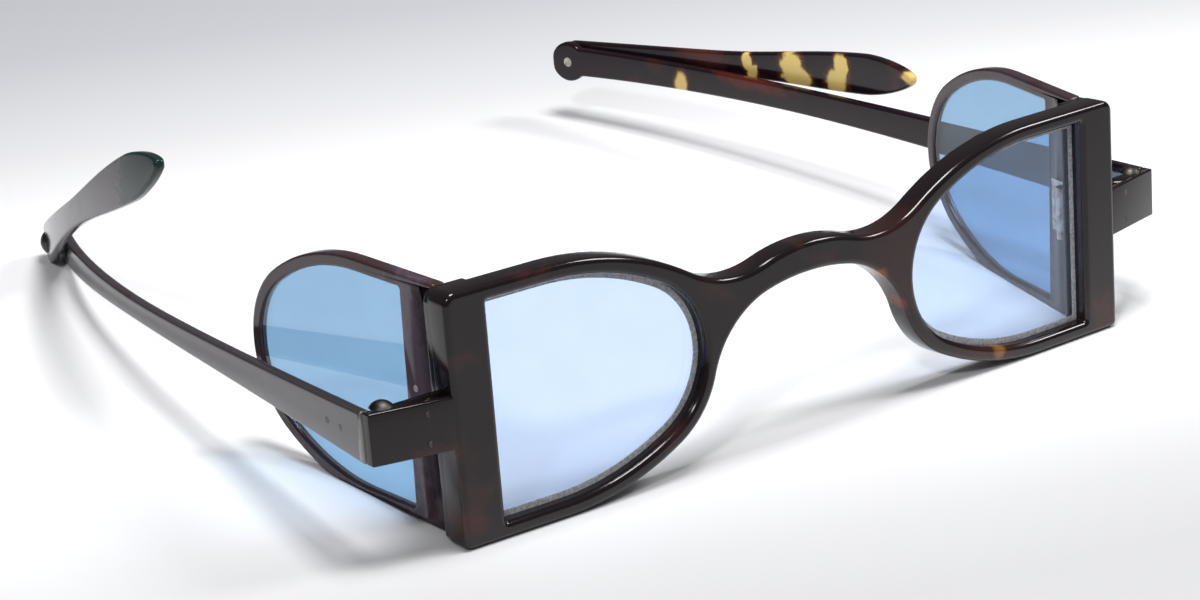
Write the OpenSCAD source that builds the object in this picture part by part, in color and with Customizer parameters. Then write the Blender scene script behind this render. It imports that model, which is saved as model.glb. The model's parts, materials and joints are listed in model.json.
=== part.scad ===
// Folding four-lens spectacles of tortoiseshell with hinged side lenses and turn-pin arms.
// The front stands on a table, leaning back until the right arm's end touches it.
// +X is the wearer's left, +Y runs back along the arms and +Z is up.

/* [Front] */
// Half width of the front over its upright bars
front_half_w = 55.4; // [52:0.1:60]
// Height of the front
front_h = 32; // [31:0.1:36]
// Width of each upright bar
bar_w = 6; // [5:0.1:8]
// Thickness of each upright bar
bar_t = 4.8; // [4.4:0.1:6]
// Thickness of the eye rims
rim_t = 3.8; // [3.6:0.1:4.3]
// Radial width of the eye rims
rim_w = 2; // [1.8:0.1:2.6]
// Width of each lens opening
eye_w = 31.9; // [30:0.1:33]
// Length of the straight sides of each lens opening
eye_straight = 9; // [7:0.1:11]
// Radius of each lens opening at the nose
eye_nose_r = 11; // [10.5:0.1:12]
// Radius of the rounded upper corner of each bar
bar_corner_r = 1.6; // [0.8:0.1:2.4]
// Bevel of the lower corner of each bar
bar_foot_bevel = 0.8; // [0.4:0.1:1.2]
// Angle by which each half of the front is swept back
sweep_angle = 1.2; // [0:0.1:3]

/* [Bridge] */
// Height of the crest in the middle of the bridge
crest_z = 25.7; // [25:0.1:27]
// Height of the two dips beside the crest
dip_z = 23.9; // [23:0.1:24.6]
// Distance of each dip from the middle
dip_x = 11.6; // [10.6:0.1:12.4]
// Radius of the shoulder from each dip up to the top edge
shoulder_r = 40; // [38:0.5:44]
// Distance from the middle at which each shoulder meets the top edge
shoulder_x = 40; // [39:0.5:42]
// Height of the nose arch in the middle
arch_z = 21.65; // [20.5:0.05:22]
// Radius of the top of the nose arch
arch_r = 28; // [26:0.5:32]
// Radius of the sides of the nose arch
arch_side_r = 13; // [11:0.5:14]

/* [Lenses] */
// Thickness of every lens
lens_t = 1.3; // [1:0.05:1.5]
// Depth of the groove that holds each lens
groove_depth = 0.7; // [0.5:0.05:1]
// Distance from the front face of the front to its lenses
lens_set_back = 2; // [1.6:0.05:2.1]
// Clearance round each lens in its groove
lens_clearance = 0.03; // [0.02:0.01:0.08]

/* [Side flaps] */
// Width of each side lens opening
flap_eye_w = 30.4; // [28:0.1:32]
// Height of each side lens opening
flap_eye_h = 28.4; // [26:0.1:29]
// Width of the upright at the hinged end of each flap
flap_bar_w = 7; // [6:0.1:9]
// Thickness of the flap frames
flap_t = 2; // [1.8:0.05:2.4]
// Width of the rim of each flap at its lens
flap_rim_w = 1.7; // [1.6:0.1:2.5]
// Height of the middle of each flap at its hinge
flap_mid_z = 16.5; // [16:0.05:17.2]
// Angle by which the flaps rise towards their round ends
flap_tilt = 2; // [1:0.1:3]
// Angle by which the right flap stands out when open
right_flap_splay = 4; // [0:0.5:8]
// Angle by which the left flap stands out when open
left_flap_splay = 14; // [8:0.5:17]

/* [Lugs] */
// Reach of each lug beyond its bar
lug_reach = 10.3; // [9:0.1:12]
// Height of the lugs and of the arms where they meet
lug_h = 6.6; // [6:0.1:7.5]
// Height of the middle of the lugs
lug_mid_z = 16.25; // [15:0.05:18]
// Distance from the front face of a bar back to the lug's rear face
lug_rear = 4; // [3.8:0.1:4.4]
// Depth of the outer end of each lug
lug_end_t = 1.5; // [1.3:0.1:1.8]
// Distance that the lug's face is set back at the bar
lug_root_step = 0.2; // [0:0.1:0.6]

/* [Arms] */
// Length of each arm from its hinge pin to its turn pin
arm_l = 116; // [100:0.5:125]
// Thickness of the arms
arm_t = 1.6; // [1.4:0.05:2]
// Height of the right arm at its narrowest, where it is more worn
right_arm_waist_h = 3; // [2.6:0.1:5]
// Height of the left arm at its narrowest
left_arm_waist_h = 3.9; // [2.6:0.1:5]
// Radius of the round end of each arm
arm_end_r = 3.2; // [3:0.1:4]
// Angle through which each arm bows inwards along its length
arm_bow = 15; // [10:0.5:24]
// Power that sets how late the bow comes
arm_bow_power = 3.2; // [2:0.1:5]
// Angle of the right arm inwards from square when open
right_arm_angle = 6.3; // [5:0.1:9]
// Angle of the left arm inwards from square when open
left_arm_angle = 0.7; // [0.4:0.1:4]
// Rise of the left arm's end above square
left_arm_rise = 4.6; // [4:0.1:7]
// Upward crown of each arm between its hinge and its end
arm_crown = 0.5; // [0:0.1:1.2]
// Angle by which the whole front leans back at rest
lean = 5.2; // [4:0.1:6]

/* [Tips] */
// Length of each tip from its turn pin to its point
tip_l = 70.5; // [60:0.5:74]
// Thickness of the tips
tip_t = 1.5; // [1.3:0.05:1.9]
// Height of each tip at its waist
tip_waist_h = 4; // [3.6:0.1:5.4]
// Height of the leaf near the end of each tip
tip_leaf_h = 6.4; // [5.6:0.1:8]
// Share of each tip's length at which its waist ends
tip_waist_place = 0.42; // [0.3:0.01:0.5]
// Share of each tip's length at which its leaf is widest
tip_leaf_place = 0.85; // [0.75:0.01:0.9]
// Power that sets how blunt the end of each leaf is
tip_bluntness = 1.6; // [1.3:0.05:2]
// Angle through which each tip bends inwards
tip_bend = 17; // [8:0.5:20]
// Radius of the round end of each tip at its turn pin
tip_end_r = 3; // [2.8:0.1:3.2]
// Angle by which the right tip is turned forwards over its arm
right_tip_turn = 158; // [152:0.5:164]
// Angle by which the left tip is turned forwards over its arm
left_tip_turn = 176.5; // [170:0.5:177]

/* [Metal] */
// Radius of the hinge pins
pin_r = 0.5; // [0.4:0.05:0.6]
// Radius of the knuckles
knuckle_r = 1.1; // [1:0.05:1.2]
// Radius of the domed heads of the hinge pins
dome_r = 1.5; // [1.3:0.05:1.7]
// Height of the domed heads
dome_h = 0.8; // [0.6:0.05:1]
// Thickness of the hinge leaves
leaf_t = 0.5; // [0.4:0.05:0.6]
// Distance of the arm's inner face from the hinge pin
arm_offset = 1.5; // [1.4:0.05:1.8]
// Distance that each arm stands out beyond the end of its lug
arm_proud = 0.3; // [0.1:0.05:0.4]
// Distance of the flap's pin from the edge of the lens opening
flap_pin_inset = 1.65; // [1.5:0.05:1.8]
// Height of the side lens hinges
flap_hinge_h = 7.3; // [6:0.1:8.5]
// Length of the leaf on each flap, from its pin
flap_leaf_l = 4.9; // [4.4:0.1:5.6]
// Length of the leaf on each bar, from the flap's pin
bar_leaf_l = 3.6; // [3.4:0.1:4]
// Length of the leaf on each lug
lug_leaf_l = 5.6; // [5:0.1:6]
// Length of the leaf on each arm
arm_leaf_l = 10; // [8:0.1:12]
// Height of the leaf on each arm
arm_leaf_h = 4.6; // [4:0.1:5.2]
// Radius of the rivets
rivet_r = 0.45; // [0.35:0.05:0.55]
// Distance of each rivet from the end of its leaf
rivet_edge = 1.1; // [1:0.05:1.3]
// Distance between the two rivets of each side lens leaf
flap_rivet_gap = 4; // [3.4:0.1:4.4]
// Distance between the two rivets of each lug
lug_rivet_gap = 3.8; // [3.4:0.1:4.2]
// Distance between the two rivets of each arm
arm_rivet_gap = 3.6; // [3:0.1:4.2]
// Radius of the turn pins
turn_pin_r = 0.75; // [0.6:0.05:0.9]
// Radius of the domed heads of the turn pins
turn_head_r = 1.6; // [1.3:0.05:1.8]
// Radius of the washers between arms and tips
washer_r = 2; // [1.6:0.1:2.4]
// Thickness of the washers between arms and tips
washer_t = 0.3; // [0.2:0.05:0.5]
// Radial clearance of the pins in what turns on them
pin_clearance = 0.03; // [0.02:0.01:0.05]
// Clearance of the rivets in their holes
rivet_clearance = 0.02; // [0.01:0.01:0.04]
// Gap between knuckles and between faces that turn on each other
turning_gap = 0.05; // [0.03:0.01:0.1]
// Gap between an open flap or arm and the face that stops it
stop_gap = 0.15; // [0.1:0.05:0.3]

/* [Hidden] */

$fn = 48;
rivet_fn = 24;
turn_fn = 32;
shell_colour = [0.16, 0.08, 0.07];
glass_colour = [0.72, 0.83, 0.96, 0.5];
side_glass_colour = [0.45, 0.62, 0.82, 0.6];
steel_colour = [0.62, 0.6, 0.57];
arc_step = 6;
long_cut = 200;

// Derived sizes of the front
eye_h = front_h - 2 * rim_w;
eye_mid_z = front_h / 2;
eye_edge_x = front_half_w - bar_w;
nose_centre_x = eye_edge_x - eye_w + eye_nose_r;
nose_gap_r = eye_nose_r + rim_w;

// Derived places of the hinges, in the unswept half front
flap_pin_gap = knuckle_r + turning_gap;
flap_pin_x = eye_edge_x + flap_pin_inset;
flap_pin_y = bar_t + flap_pin_gap;
flap_hinge_mid_z = lug_mid_z;
lug_end_x = front_half_w + lug_reach;
arm_pin_x = lug_end_x - arm_offset - arm_t + arm_proud;
arm_pin_y = lug_rear;
knuckle_h = (lug_h - 2 * turning_gap) / 3;
flap_knuckle_h = (flap_hinge_h - 2 * turning_gap) / 3;

// Places along the arms and tips
arm_steps = 30;
tip_steps = 24;
bowed_l = arm_l - arm_end_r;
tip_bent_l = tip_l - arm_end_r;
tip_seat = arm_t / 2 + washer_t + 2 * turning_gap + tip_t / 2;

// Points of an arc from one angle to another
function arc_points(centre, r, from, to) =
    let (n = max(2, ceil(abs(to - from) / arc_step)))
    [for (i = [0:n]) let (a = from + (to - from) * i / n) centre + r * [cos(a), sin(a)]];

// Radius of the long arc that joins the straight side of a D to its nose circle
function side_arc_r(length, half_h, nose_r) =
    (pow(length - nose_r, 2) + half_h * half_h - nose_r * nose_r) / (2 * (half_h - nose_r));

// Outline of a D lying with its straight edge on the Y axis and its nose at +X.
// The sides run straight, then follow a long arc and a nose circle, tangent to each other.
function d_points(w, h, straight, nose_r, grow) =
    let (half = h / 2, reach = w - straight, big_r = side_arc_r(reach, half, nose_r),
         nose_x = straight + reach - nose_r,
         a = atan2(big_r - half, reach - nose_r))
    concat([[-grow, -half - grow]],
           arc_points([straight, big_r - half], big_r + grow, -90, -a),
           arc_points([nose_x, 0], nose_r + grow, -a, a),
           arc_points([straight, half - big_r], big_r + grow, a, 90),
           [[-grow, half + grow]]);

// Circle radius of each dip, tangent to the shoulder and level with dip_z
shoulder_dx = shoulder_x - dip_x;
shoulder_drop = front_h - shoulder_r;
dip_r = (pow(shoulder_dx, 2) + pow(dip_z - shoulder_drop, 2) - pow(shoulder_r, 2))
    / (2 * (shoulder_r - (dip_z - shoulder_drop)));
dip_centre_z = dip_z + dip_r;
dip_angle = atan2(dip_centre_z - shoulder_drop, -shoulder_dx);

// Radius of the crest, tangent to both dips
crest_gap = dip_centre_z - crest_z;
crest_r = (dip_x * dip_x + crest_gap * crest_gap - dip_r * dip_r) / (2 * (dip_r - crest_gap));
crest_angle = atan2(dip_centre_z - crest_z + crest_r, dip_x);

// Centre of each side circle of the nose arch, tangent to the arch's top and to the eye rim
arch_centre_z = arch_z - arch_r;
near_d = arch_r - arch_side_r;
far_d = nose_gap_r + arch_side_r;
span_x = nose_centre_x;
span_z = eye_mid_z - arch_centre_z;
span = norm([span_x, span_z]);
along = (near_d * near_d - far_d * far_d + span * span) / (2 * span);
across = sqrt(near_d * near_d - along * along);
side_centre = [along * span_x / span - across * span_z / span,
               arch_centre_z + along * span_z / span + across * span_x / span];
side_start = atan2(eye_mid_z - side_centre[1], nose_centre_x - side_centre[0]);
side_end = atan2(side_centre[1] - arch_centre_z, side_centre[0]);

// Outline of the left half of the front, seen from behind with x outwards and z up
big_r = side_arc_r(eye_w - eye_straight, eye_h / 2, eye_nose_r);
big_a = atan2(big_r - eye_h / 2, eye_w - eye_straight - eye_nose_r);
half_front_points = concat(
    [[0, arch_z]],
    [[0, crest_z]],
    arc_points([0, crest_z - crest_r], crest_r, 90, crest_angle),
    arc_points([dip_x, dip_centre_z], dip_r, 180 + crest_angle, 180 + dip_angle),
    arc_points([shoulder_x, shoulder_drop], shoulder_r, dip_angle, 90),
    arc_points([front_half_w - bar_corner_r, front_h - bar_corner_r], bar_corner_r, 90, 0),
    [[front_half_w, bar_foot_bevel], [front_half_w - bar_foot_bevel, 0]],
    arc_points([eye_edge_x - eye_straight, big_r + rim_w], big_r + rim_w, -90, big_a - 180),
    arc_points([nose_centre_x, eye_mid_z], nose_gap_r, 180 + big_a, 180 + side_start),
    arc_points(side_centre, arch_side_r, side_start, side_end),
    arc_points([0, arch_centre_z], arch_r, side_end, 90));

// Lift that stands the leaning front on its feet, and the depth of the flat under each bar
foot_y = bar_t * cos(sweep_angle) + eye_edge_x * sin(sweep_angle);
foot_flat = 0.25;
lift = foot_y * sin(lean) - foot_flat;

// Direction of an arm at a place along it, as an angle inwards
function arm_turn(s) = arm_bow * pow(min(1, max(0, s / bowed_l)), arm_bow_power);
function step_on(angle, ds) = ds * [-sin(angle), cos(angle)];

// Centre line of an arm from its hinge, with x outwards and y back
arm_ds = arm_l / arm_steps;
arm_line = [for (i = 0, p = [arm_offset + arm_t / 2, 0]; i <= arm_steps;
                 p = p + step_on(arm_turn((i + 0.5) * arm_ds), arm_ds), i = i + 1) p];
arm_end = arm_line[arm_steps];

// Centre line of a tip from its turn pin
function tip_angle(s) = tip_bend * max(0, (s - arm_end_r) / tip_bent_l);
tip_ds = tip_l / tip_steps;
tip_line = [for (i = 0, p = [tip_seat, 0]; i <= tip_steps;
                 p = p + step_on(tip_angle((i + 0.5) * tip_ds), tip_ds), i = i + 1) p];

// Height of an arm at a share of its length: tall at the hinge, waisted, wider at the end
arm_waist_place = 0.62;
function arm_height(k, waist) = k < arm_waist_place
    ? waist + (lug_h - waist) * pow(1 - k / arm_waist_place, 1.6)
    : waist + (arm_end_r * 1.45 - waist) * pow((k - arm_waist_place) / (1 - arm_waist_place), 1.8);

// Half height of a tip at a share of its length: round root, waist, leaf and point
function tip_half(k) = k < tip_waist_place
    ? tip_waist_h / 2 + (tip_end_r - tip_waist_h / 2) * pow(1 - k / tip_waist_place, 1.5)
    : k < tip_leaf_place
    ? tip_waist_h / 2 + (tip_leaf_h - tip_waist_h) / 2 * ease((k - tip_waist_place) / leaf_growth)
    : tip_leaf_h / 2 * sqrt(max(0, 1 - pow((k - tip_leaf_place) / (1 - tip_leaf_place), tip_bluntness)));
leaf_growth = tip_leaf_place - tip_waist_place;
function ease(k) = (1 - cos(180 * k)) / 2;

// Rise of the right arm's end that sets it on the table
right_end = [arm_pin_x, arm_pin_y] + turned(arm_end, right_arm_angle);
right_end_y = turned(right_end, sweep_angle)[1];
right_arm_rise = (right_end_y * sin(lean) + arm_end_r - lift) / cos(lean) - lug_mid_z;
function turned(p, a) = [p[0] * cos(a) - p[1] * sin(a), p[0] * sin(a) + p[1] * cos(a)];

// Middle of the whole object from front to back, between the front's foot and the arms' ends
left_end = [arm_pin_x, arm_pin_y] + turned(arm_end, left_arm_angle);
left_end_y = turned(left_end, sweep_angle)[1];
left_back = left_end_y * cos(lean) + (lug_mid_z + left_arm_rise) * sin(lean);
right_back = right_end_y * cos(lean) + (lug_mid_z + right_arm_rise) * sin(lean);
front_start = (eye_edge_x - eye_straight) * sin(sweep_angle) * cos(lean);
middle_y = (front_start + max(left_back, right_back) + arm_end_r) / 2;

module arm_space(side) {
    // Puts a piece of an arm, made round its hinge pin, in its open place
    angle = side < 0 ? right_arm_angle : left_arm_angle;
    half_space(side) translate([arm_pin_x, arm_pin_y, lug_mid_z]) rotate([0, 0, angle]) children();
}

module half_space(side) {
    // Puts a piece of the left half front on its own side, swept back, leaning and lifted
    translate([0, -middle_y, lift]) rotate([-lean, 0, 0])
        mirror([side < 0 ? 1 : 0, 0, 0]) rotate([0, 0, sweep_angle]) children();
}

module flap_space(side) {
    // Puts a piece of a flap, made round its pin, in its open place
    splay = side < 0 ? right_flap_splay : left_flap_splay;
    half_space(side) translate([flap_pin_x, flap_pin_y, 0]) rotate([0, 0, -splay]) children();
}

module turn_space(side) {
    // Puts a piece made round the turn pin, with x outwards and y along the arm's end
    rise = side < 0 ? right_arm_rise : left_arm_rise;
    arm_space(side) translate([arm_end[0], arm_end[1], rise]) rotate([0, 0, arm_bow]) children();
}

module tip_space(side) {
    turn = side < 0 ? right_tip_turn : left_tip_turn;
    turn_space(side) rotate([turn, 0, 0]) children();
}

module upright(points, from_y, to_y) {
    // A flat shape standing in the plane of the front, as deep as from_y to to_y
    translate([0, to_y, 0]) rotate([90, 0, 0]) linear_extrude(to_y - from_y) polygon(points);
}

module eye_shape(grow, from_y, to_y) {
    translate([eye_edge_x, 0, eye_mid_z]) mirror([1, 0, 0])
        upright(d_points(eye_w, eye_h, eye_straight, eye_nose_r, grow), from_y, to_y);
}

module half_front() {
    lug_bottom = lug_mid_z - lug_h / 2;
    difference() {
        union() {
            upright(half_front_points, 0, rim_t);
            intersection() {
                upright(half_front_points, 0, bar_t);
                translate([eye_edge_x, 0, 0]) cube([bar_w, bar_t, front_h]);
            }
            translate([0, 0, lug_bottom]) linear_extrude(lug_h)
                polygon([[front_half_w - bar_w / 2, lug_root_step],
                         [front_half_w, lug_root_step], [lug_end_x, lug_rear - lug_end_t],
                         [lug_end_x, lug_rear], [front_half_w - bar_w / 2, lug_rear]]);
        }
        eye_shape(0, -1, bar_t + 1);
        eye_shape(groove_depth, lens_set_back, lens_set_back + lens_t + lens_clearance);
        translate([arm_pin_x, arm_pin_y, lug_bottom - 1])
            cylinder(r = knuckle_r + turning_gap, h = lug_h + 2);
        bar_leaf_plate(turning_gap / 5);
        for (z = lug_rivet_places()) translate([lug_rivet_x(), -1, z]) rotate([-90, 0, 0])
            cylinder(r = rivet_r + rivet_clearance, h = bar_t + 2, $fn = rivet_fn);
        for (z = bar_rivet_places()) translate([bar_rivet_x(), bar_t - 3, z]) rotate([-90, 0, 0])
            cylinder(r = rivet_r + rivet_clearance, h = 4, $fn = rivet_fn);
    }
}

module front_frame() {
    color(shell_colour) difference() {
        union() {
            half_space(1) half_front();
            half_space(-1) half_front();
        }
        below_table();
    }
}

module below_table() {
    // Cuts a flat sole level with the table
    translate([-long_cut / 2, -long_cut / 2, -long_cut]) cube(long_cut);
}

module front_lens(side) {
    color(glass_colour) half_space(side)
        eye_shape(groove_depth - lens_clearance, lens_set_back + lens_clearance / 2,
                  lens_set_back + lens_clearance / 2 + lens_t);
}

// A flap stands with x outwards, y back from its pin and z up; its inner face is at flap_pin_gap
module flap_plate(grow, from_x, to_x) {
    translate([from_x, flap_bar_w - flap_pin_gap, flap_mid_z]) rotate([flap_tilt, 0, 0])
        rotate([90, 0, 90]) linear_extrude(to_x - from_x)
        polygon(d_points(flap_eye_w, flap_eye_h, eye_straight, eye_nose_r, grow));
}

module flap_frame(side) {
    inner = flap_pin_gap;
    outer = flap_pin_gap + flap_t;
    splay = side < 0 ? right_flap_splay : left_flap_splay;
    half_h = flap_eye_h / 2 + flap_rim_w;
    color(shell_colour) difference() {
        flap_space(side) difference() {
            union() {
                flap_plate(flap_rim_w, inner, outer);
                translate([inner, -flap_bar_w, flap_mid_z]) rotate([flap_tilt, 0, 0])
                    translate([0, 0, -half_h]) cube([flap_t, 2 * flap_bar_w, 2 * half_h]);
            }
            flap_plate(0, inner - 1, outer + 1);
            flap_plate(groove_depth, flap_lens_x(), flap_lens_x() + lens_t + lens_clearance);
            flap_leaf_plate(turning_gap / 5);
            for (p = flap_rivet_places()) translate([inner - 1, p[0], p[1]]) rotate([0, 90, 0])
                cylinder(r = rivet_r + rivet_clearance, h = flap_t + 2, $fn = rivet_fn);
        }
        // Mitre that lets the open flap stop against the bar
        half_space(side) translate([0, bar_t + stop_gap - long_cut, -long_cut / 2]) cube(long_cut);
        below_table();
    }
}

function flap_lens_x() = flap_pin_gap + (flap_t - lens_t - lens_clearance) / 2;

module flap_lens(side) {
    color(side_glass_colour) flap_space(side)
        flap_plate(groove_depth - lens_clearance, flap_lens_x() + lens_clearance / 2,
                   flap_lens_x() + lens_clearance / 2 + lens_t);
}

// Hinge leaves for the flaps. The foot of each fixed knuckle keeps clear of the flap's mitre.
knuckle_foot = 0.65 * knuckle_r;
function bar_rivet_x() = flap_pin_x + bar_leaf_l - rivet_edge;
function bar_rivet_places() = [for (s = [-1, 1]) flap_hinge_mid_z + s * flap_rivet_gap / 2];
function flap_rivet_places() =
    [for (s = [-1, 1]) [flap_leaf_l - rivet_edge, flap_hinge_mid_z + s * flap_rivet_gap / 2]];

module bar_leaf_plate(grow) {
    bottom = flap_hinge_mid_z - flap_hinge_h / 2;
    translate([flap_pin_x - grow, bar_t - leaf_t - grow, bottom - grow])
        cube([bar_leaf_l + 2 * grow, leaf_t + 2 * grow, flap_hinge_h + 2 * grow]);
}

module bar_leaf(side) {
    bottom = flap_hinge_mid_z - flap_hinge_h / 2;
    color(steel_colour) half_space(side) difference() {
        union() {
            bar_leaf_plate(0);
            for (z = [bottom, bottom + flap_hinge_h - flap_knuckle_h])
                translate([flap_pin_x, flap_pin_y, z]) {
                    cylinder(r = knuckle_r, h = flap_knuckle_h);
                    translate([0, -flap_pin_gap, 0]) cube([knuckle_foot, flap_pin_gap, flap_knuckle_h]);
                }
        }
        translate([flap_pin_x, flap_pin_y, bottom - 1])
            cylinder(r = pin_r + rivet_clearance, h = flap_hinge_h + 2, $fn = rivet_fn);
        for (z = bar_rivet_places()) translate([bar_rivet_x(), bar_t - 2, z]) rotate([-90, 0, 0])
            cylinder(r = rivet_r + rivet_clearance, h = 4, $fn = rivet_fn);
    }
}

module flap_leaf_plate(grow) {
    bottom = flap_hinge_mid_z - flap_hinge_h / 2;
    translate([flap_pin_gap - grow, knuckle_r - grow, bottom - grow])
        cube([leaf_t + 2 * grow, flap_leaf_l - knuckle_r + 2 * grow, flap_hinge_h + 2 * grow]);
}

module flap_leaf(side) {
    middle = flap_hinge_mid_z - flap_knuckle_h / 2;
    color(steel_colour) flap_space(side) difference() {
        union() {
            flap_leaf_plate(0);
            translate([0, 0, middle]) {
                cylinder(r = knuckle_r, h = flap_knuckle_h);
                translate([knuckle_r - leaf_t, 0, 0])
                    cube([leaf_t, knuckle_r + 0.4, flap_knuckle_h]);
                translate([knuckle_r - leaf_t, knuckle_r, 0])
                    cube([flap_pin_gap - knuckle_r + leaf_t + 0.2, 0.6, flap_knuckle_h]);
            }
        }
        translate([0, 0, middle - 1])
            cylinder(r = pin_r + pin_clearance, h = flap_knuckle_h + 2, $fn = rivet_fn);
        for (p = flap_rivet_places()) translate([0, p[0], p[1]]) rotate([0, 90, 0])
            cylinder(r = rivet_r + rivet_clearance, h = 4, $fn = rivet_fn);
    }
}

module flap_pin(side) {
    color(steel_colour) half_space(side)
        translate([flap_pin_x, flap_pin_y, flap_hinge_mid_z - flap_hinge_h / 2])
        cylinder(r = pin_r, h = flap_hinge_h, $fn = rivet_fn);
}

module flap_rivets(side) {
    color(steel_colour) flap_space(side) for (p = flap_rivet_places())
        translate([flap_pin_gap, p[0], p[1]]) rotate([0, 90, 0])
        cylinder(r = rivet_r, h = flap_t, $fn = rivet_fn);
}

module bar_rivets(side) {
    color(steel_colour) half_space(side) for (z = bar_rivet_places())
        translate([bar_rivet_x(), bar_t - 2.8, z]) rotate([-90, 0, 0])
        cylinder(r = rivet_r, h = 2.8, $fn = rivet_fn);
}

// Hinges of the arms
function lug_rivet_x() = arm_pin_x - lug_leaf_l + rivet_edge;
function lug_rivet_places() = [for (s = [-1, 1]) lug_mid_z + s * lug_rivet_gap / 2];
function arm_rivet_places() = [arm_leaf_l - rivet_edge, arm_leaf_l - rivet_edge - arm_rivet_gap];

module lug_leaf(side) {
    bottom = lug_mid_z - lug_h / 2;
    start = arm_pin_x - lug_leaf_l - 0.4;
    color(steel_colour) half_space(side) difference() {
        union() {
            translate([start, lug_rear, bottom + 0.6])
                cube([lug_leaf_l - knuckle_r, leaf_t, lug_h - 1.2]);
            for (z = [bottom, bottom + lug_h - knuckle_h]) translate([arm_pin_x, arm_pin_y, z]) {
                cylinder(r = knuckle_r, h = knuckle_h);
                translate([-knuckle_r - 1, 0, z > lug_mid_z ? 0 : 0.6])
                    cube([knuckle_r + 1, leaf_t, knuckle_h - 0.6]);
            }
        }
        translate([arm_pin_x, arm_pin_y, bottom - 1])
            cylinder(r = pin_r + rivet_clearance, h = lug_h + 2, $fn = rivet_fn);
        for (z = lug_rivet_places()) translate([lug_rivet_x(), 0, z]) rotate([-90, 0, 0])
            cylinder(r = rivet_r + rivet_clearance, h = lug_rear + 2, $fn = rivet_fn);
    }
}

module lug_rivets(side) {
    face = lug_root_step + (lug_rivet_x() - front_half_w) / lug_reach
        * (lug_rear - lug_end_t - lug_root_step);
    color(steel_colour) half_space(side) for (z = lug_rivet_places())
        translate([lug_rivet_x(), face, z]) rotate([-90, 0, 0])
        cylinder(r = rivet_r, h = lug_rear + leaf_t - face, $fn = rivet_fn);
}

module arm_leaf(side) {
    color(steel_colour) arm_space(side) difference() {
        union() {
            translate([arm_offset - leaf_t, knuckle_r + 0.8, -arm_leaf_h / 2])
                cube([leaf_t, arm_leaf_l - knuckle_r - 0.8, arm_leaf_h]);
            translate([0, 0, -knuckle_h / 2]) {
                cylinder(r = knuckle_r, h = knuckle_h);
                translate([knuckle_r - leaf_t, 0, 0]) cube([leaf_t, 1.6, knuckle_h]);
                translate([knuckle_r - leaf_t, knuckle_r, 0])
                    cube([arm_offset - knuckle_r + leaf_t, 1.2, knuckle_h]);
            }
        }
        translate([0, 0, -lug_h]) cylinder(r = pin_r + pin_clearance, h = 2 * lug_h, $fn = rivet_fn);
        for (y = arm_rivet_places()) translate([0, y, 0]) rotate([0, 90, 0])
            cylinder(r = rivet_r + rivet_clearance, h = 4, $fn = rivet_fn);
    }
}

module arm_rivets(side) {
    color(steel_colour) arm_space(side) for (y = arm_rivet_places())
        translate([arm_offset - leaf_t, y, 0]) rotate([0, 90, 0])
        cylinder(r = rivet_r, h = leaf_t + arm_t, $fn = rivet_fn);
}

module dome(r, h) {
    // A cap of a sphere, r wide at its foot and h high
    ball_r = (r * r + h * h) / (2 * h);
    intersection() {
        translate([0, 0, h - ball_r]) sphere(r = ball_r);
        cylinder(r = r + 1, h = h + 1);
    }
}

module hinge_pin(side) {
    color(steel_colour) half_space(side) translate([arm_pin_x, arm_pin_y, lug_mid_z]) {
        translate([0, 0, -lug_h / 2]) cylinder(r = pin_r, h = lug_h, $fn = rivet_fn);
        translate([0, 0, lug_h / 2]) dome(dome_r, dome_h);
    }
}

// The arms
module arm(side) {
    rise = side < 0 ? right_arm_rise : left_arm_rise;
    waist = side < 0 ? right_arm_waist_h : left_arm_waist_h;
    heights = [for (i = [0:arm_steps]) arm_height(i / arm_steps, waist)];
    mids = [for (i = [0:arm_steps]) rise * min(1, i / arm_steps * arm_l / bowed_l)
                                    + arm_crown * sin(180 * i / arm_steps)];
    turns = [for (i = [0:arm_steps]) arm_turn(i * arm_ds)];
    outer = [for (i = [0:arm_steps]) arm_line[i] + arm_t / 2 * [cos(turns[i]), sin(turns[i])]];
    inner = [for (i = [arm_steps:-1:0]) arm_line[i] - arm_t / 2 * [cos(turns[i]), sin(turns[i])]];
    top = [for (i = [0:arm_steps]) [arm_line[i][1], mids[i] + heights[i] / 2]];
    low = [for (i = [arm_steps:-1:0]) [arm_line[i][1], mids[i] - heights[i] / 2]];
    butt = [[arm_offset + arm_t, -arm_t], [arm_offset, -arm_t]];
    color(shell_colour) difference() {
        union() {
            arm_space(side) intersection() {
                translate([0, 0, -long_cut / 2]) linear_extrude(long_cut)
                    polygon(concat([butt[1], butt[0]], outer, inner));
                rotate([90, 0, 90]) translate([0, 0, -long_cut / 2]) linear_extrude(long_cut)
                    polygon(concat([[-arm_t, -lug_h / 2], [-arm_t, lug_h / 2]], top, low));
            }
            turn_space(side) translate([-arm_t / 2, 0, 0]) rotate([0, 90, 0])
                cylinder(r = arm_end_r, h = arm_t);
        }
        half_space(side) translate([0, lug_rear + stop_gap - long_cut, -long_cut / 2]) cube(long_cut);
        arm_space(side) for (y = arm_rivet_places()) translate([0, y, 0]) rotate([0, 90, 0])
            cylinder(r = rivet_r + rivet_clearance, h = 6, $fn = rivet_fn);
        turn_space(side) rotate([0, 90, 0]) translate([0, 0, -arm_t])
            cylinder(r = turn_pin_r + rivet_clearance, h = 2 * arm_t, $fn = turn_fn);
    }
}

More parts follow.
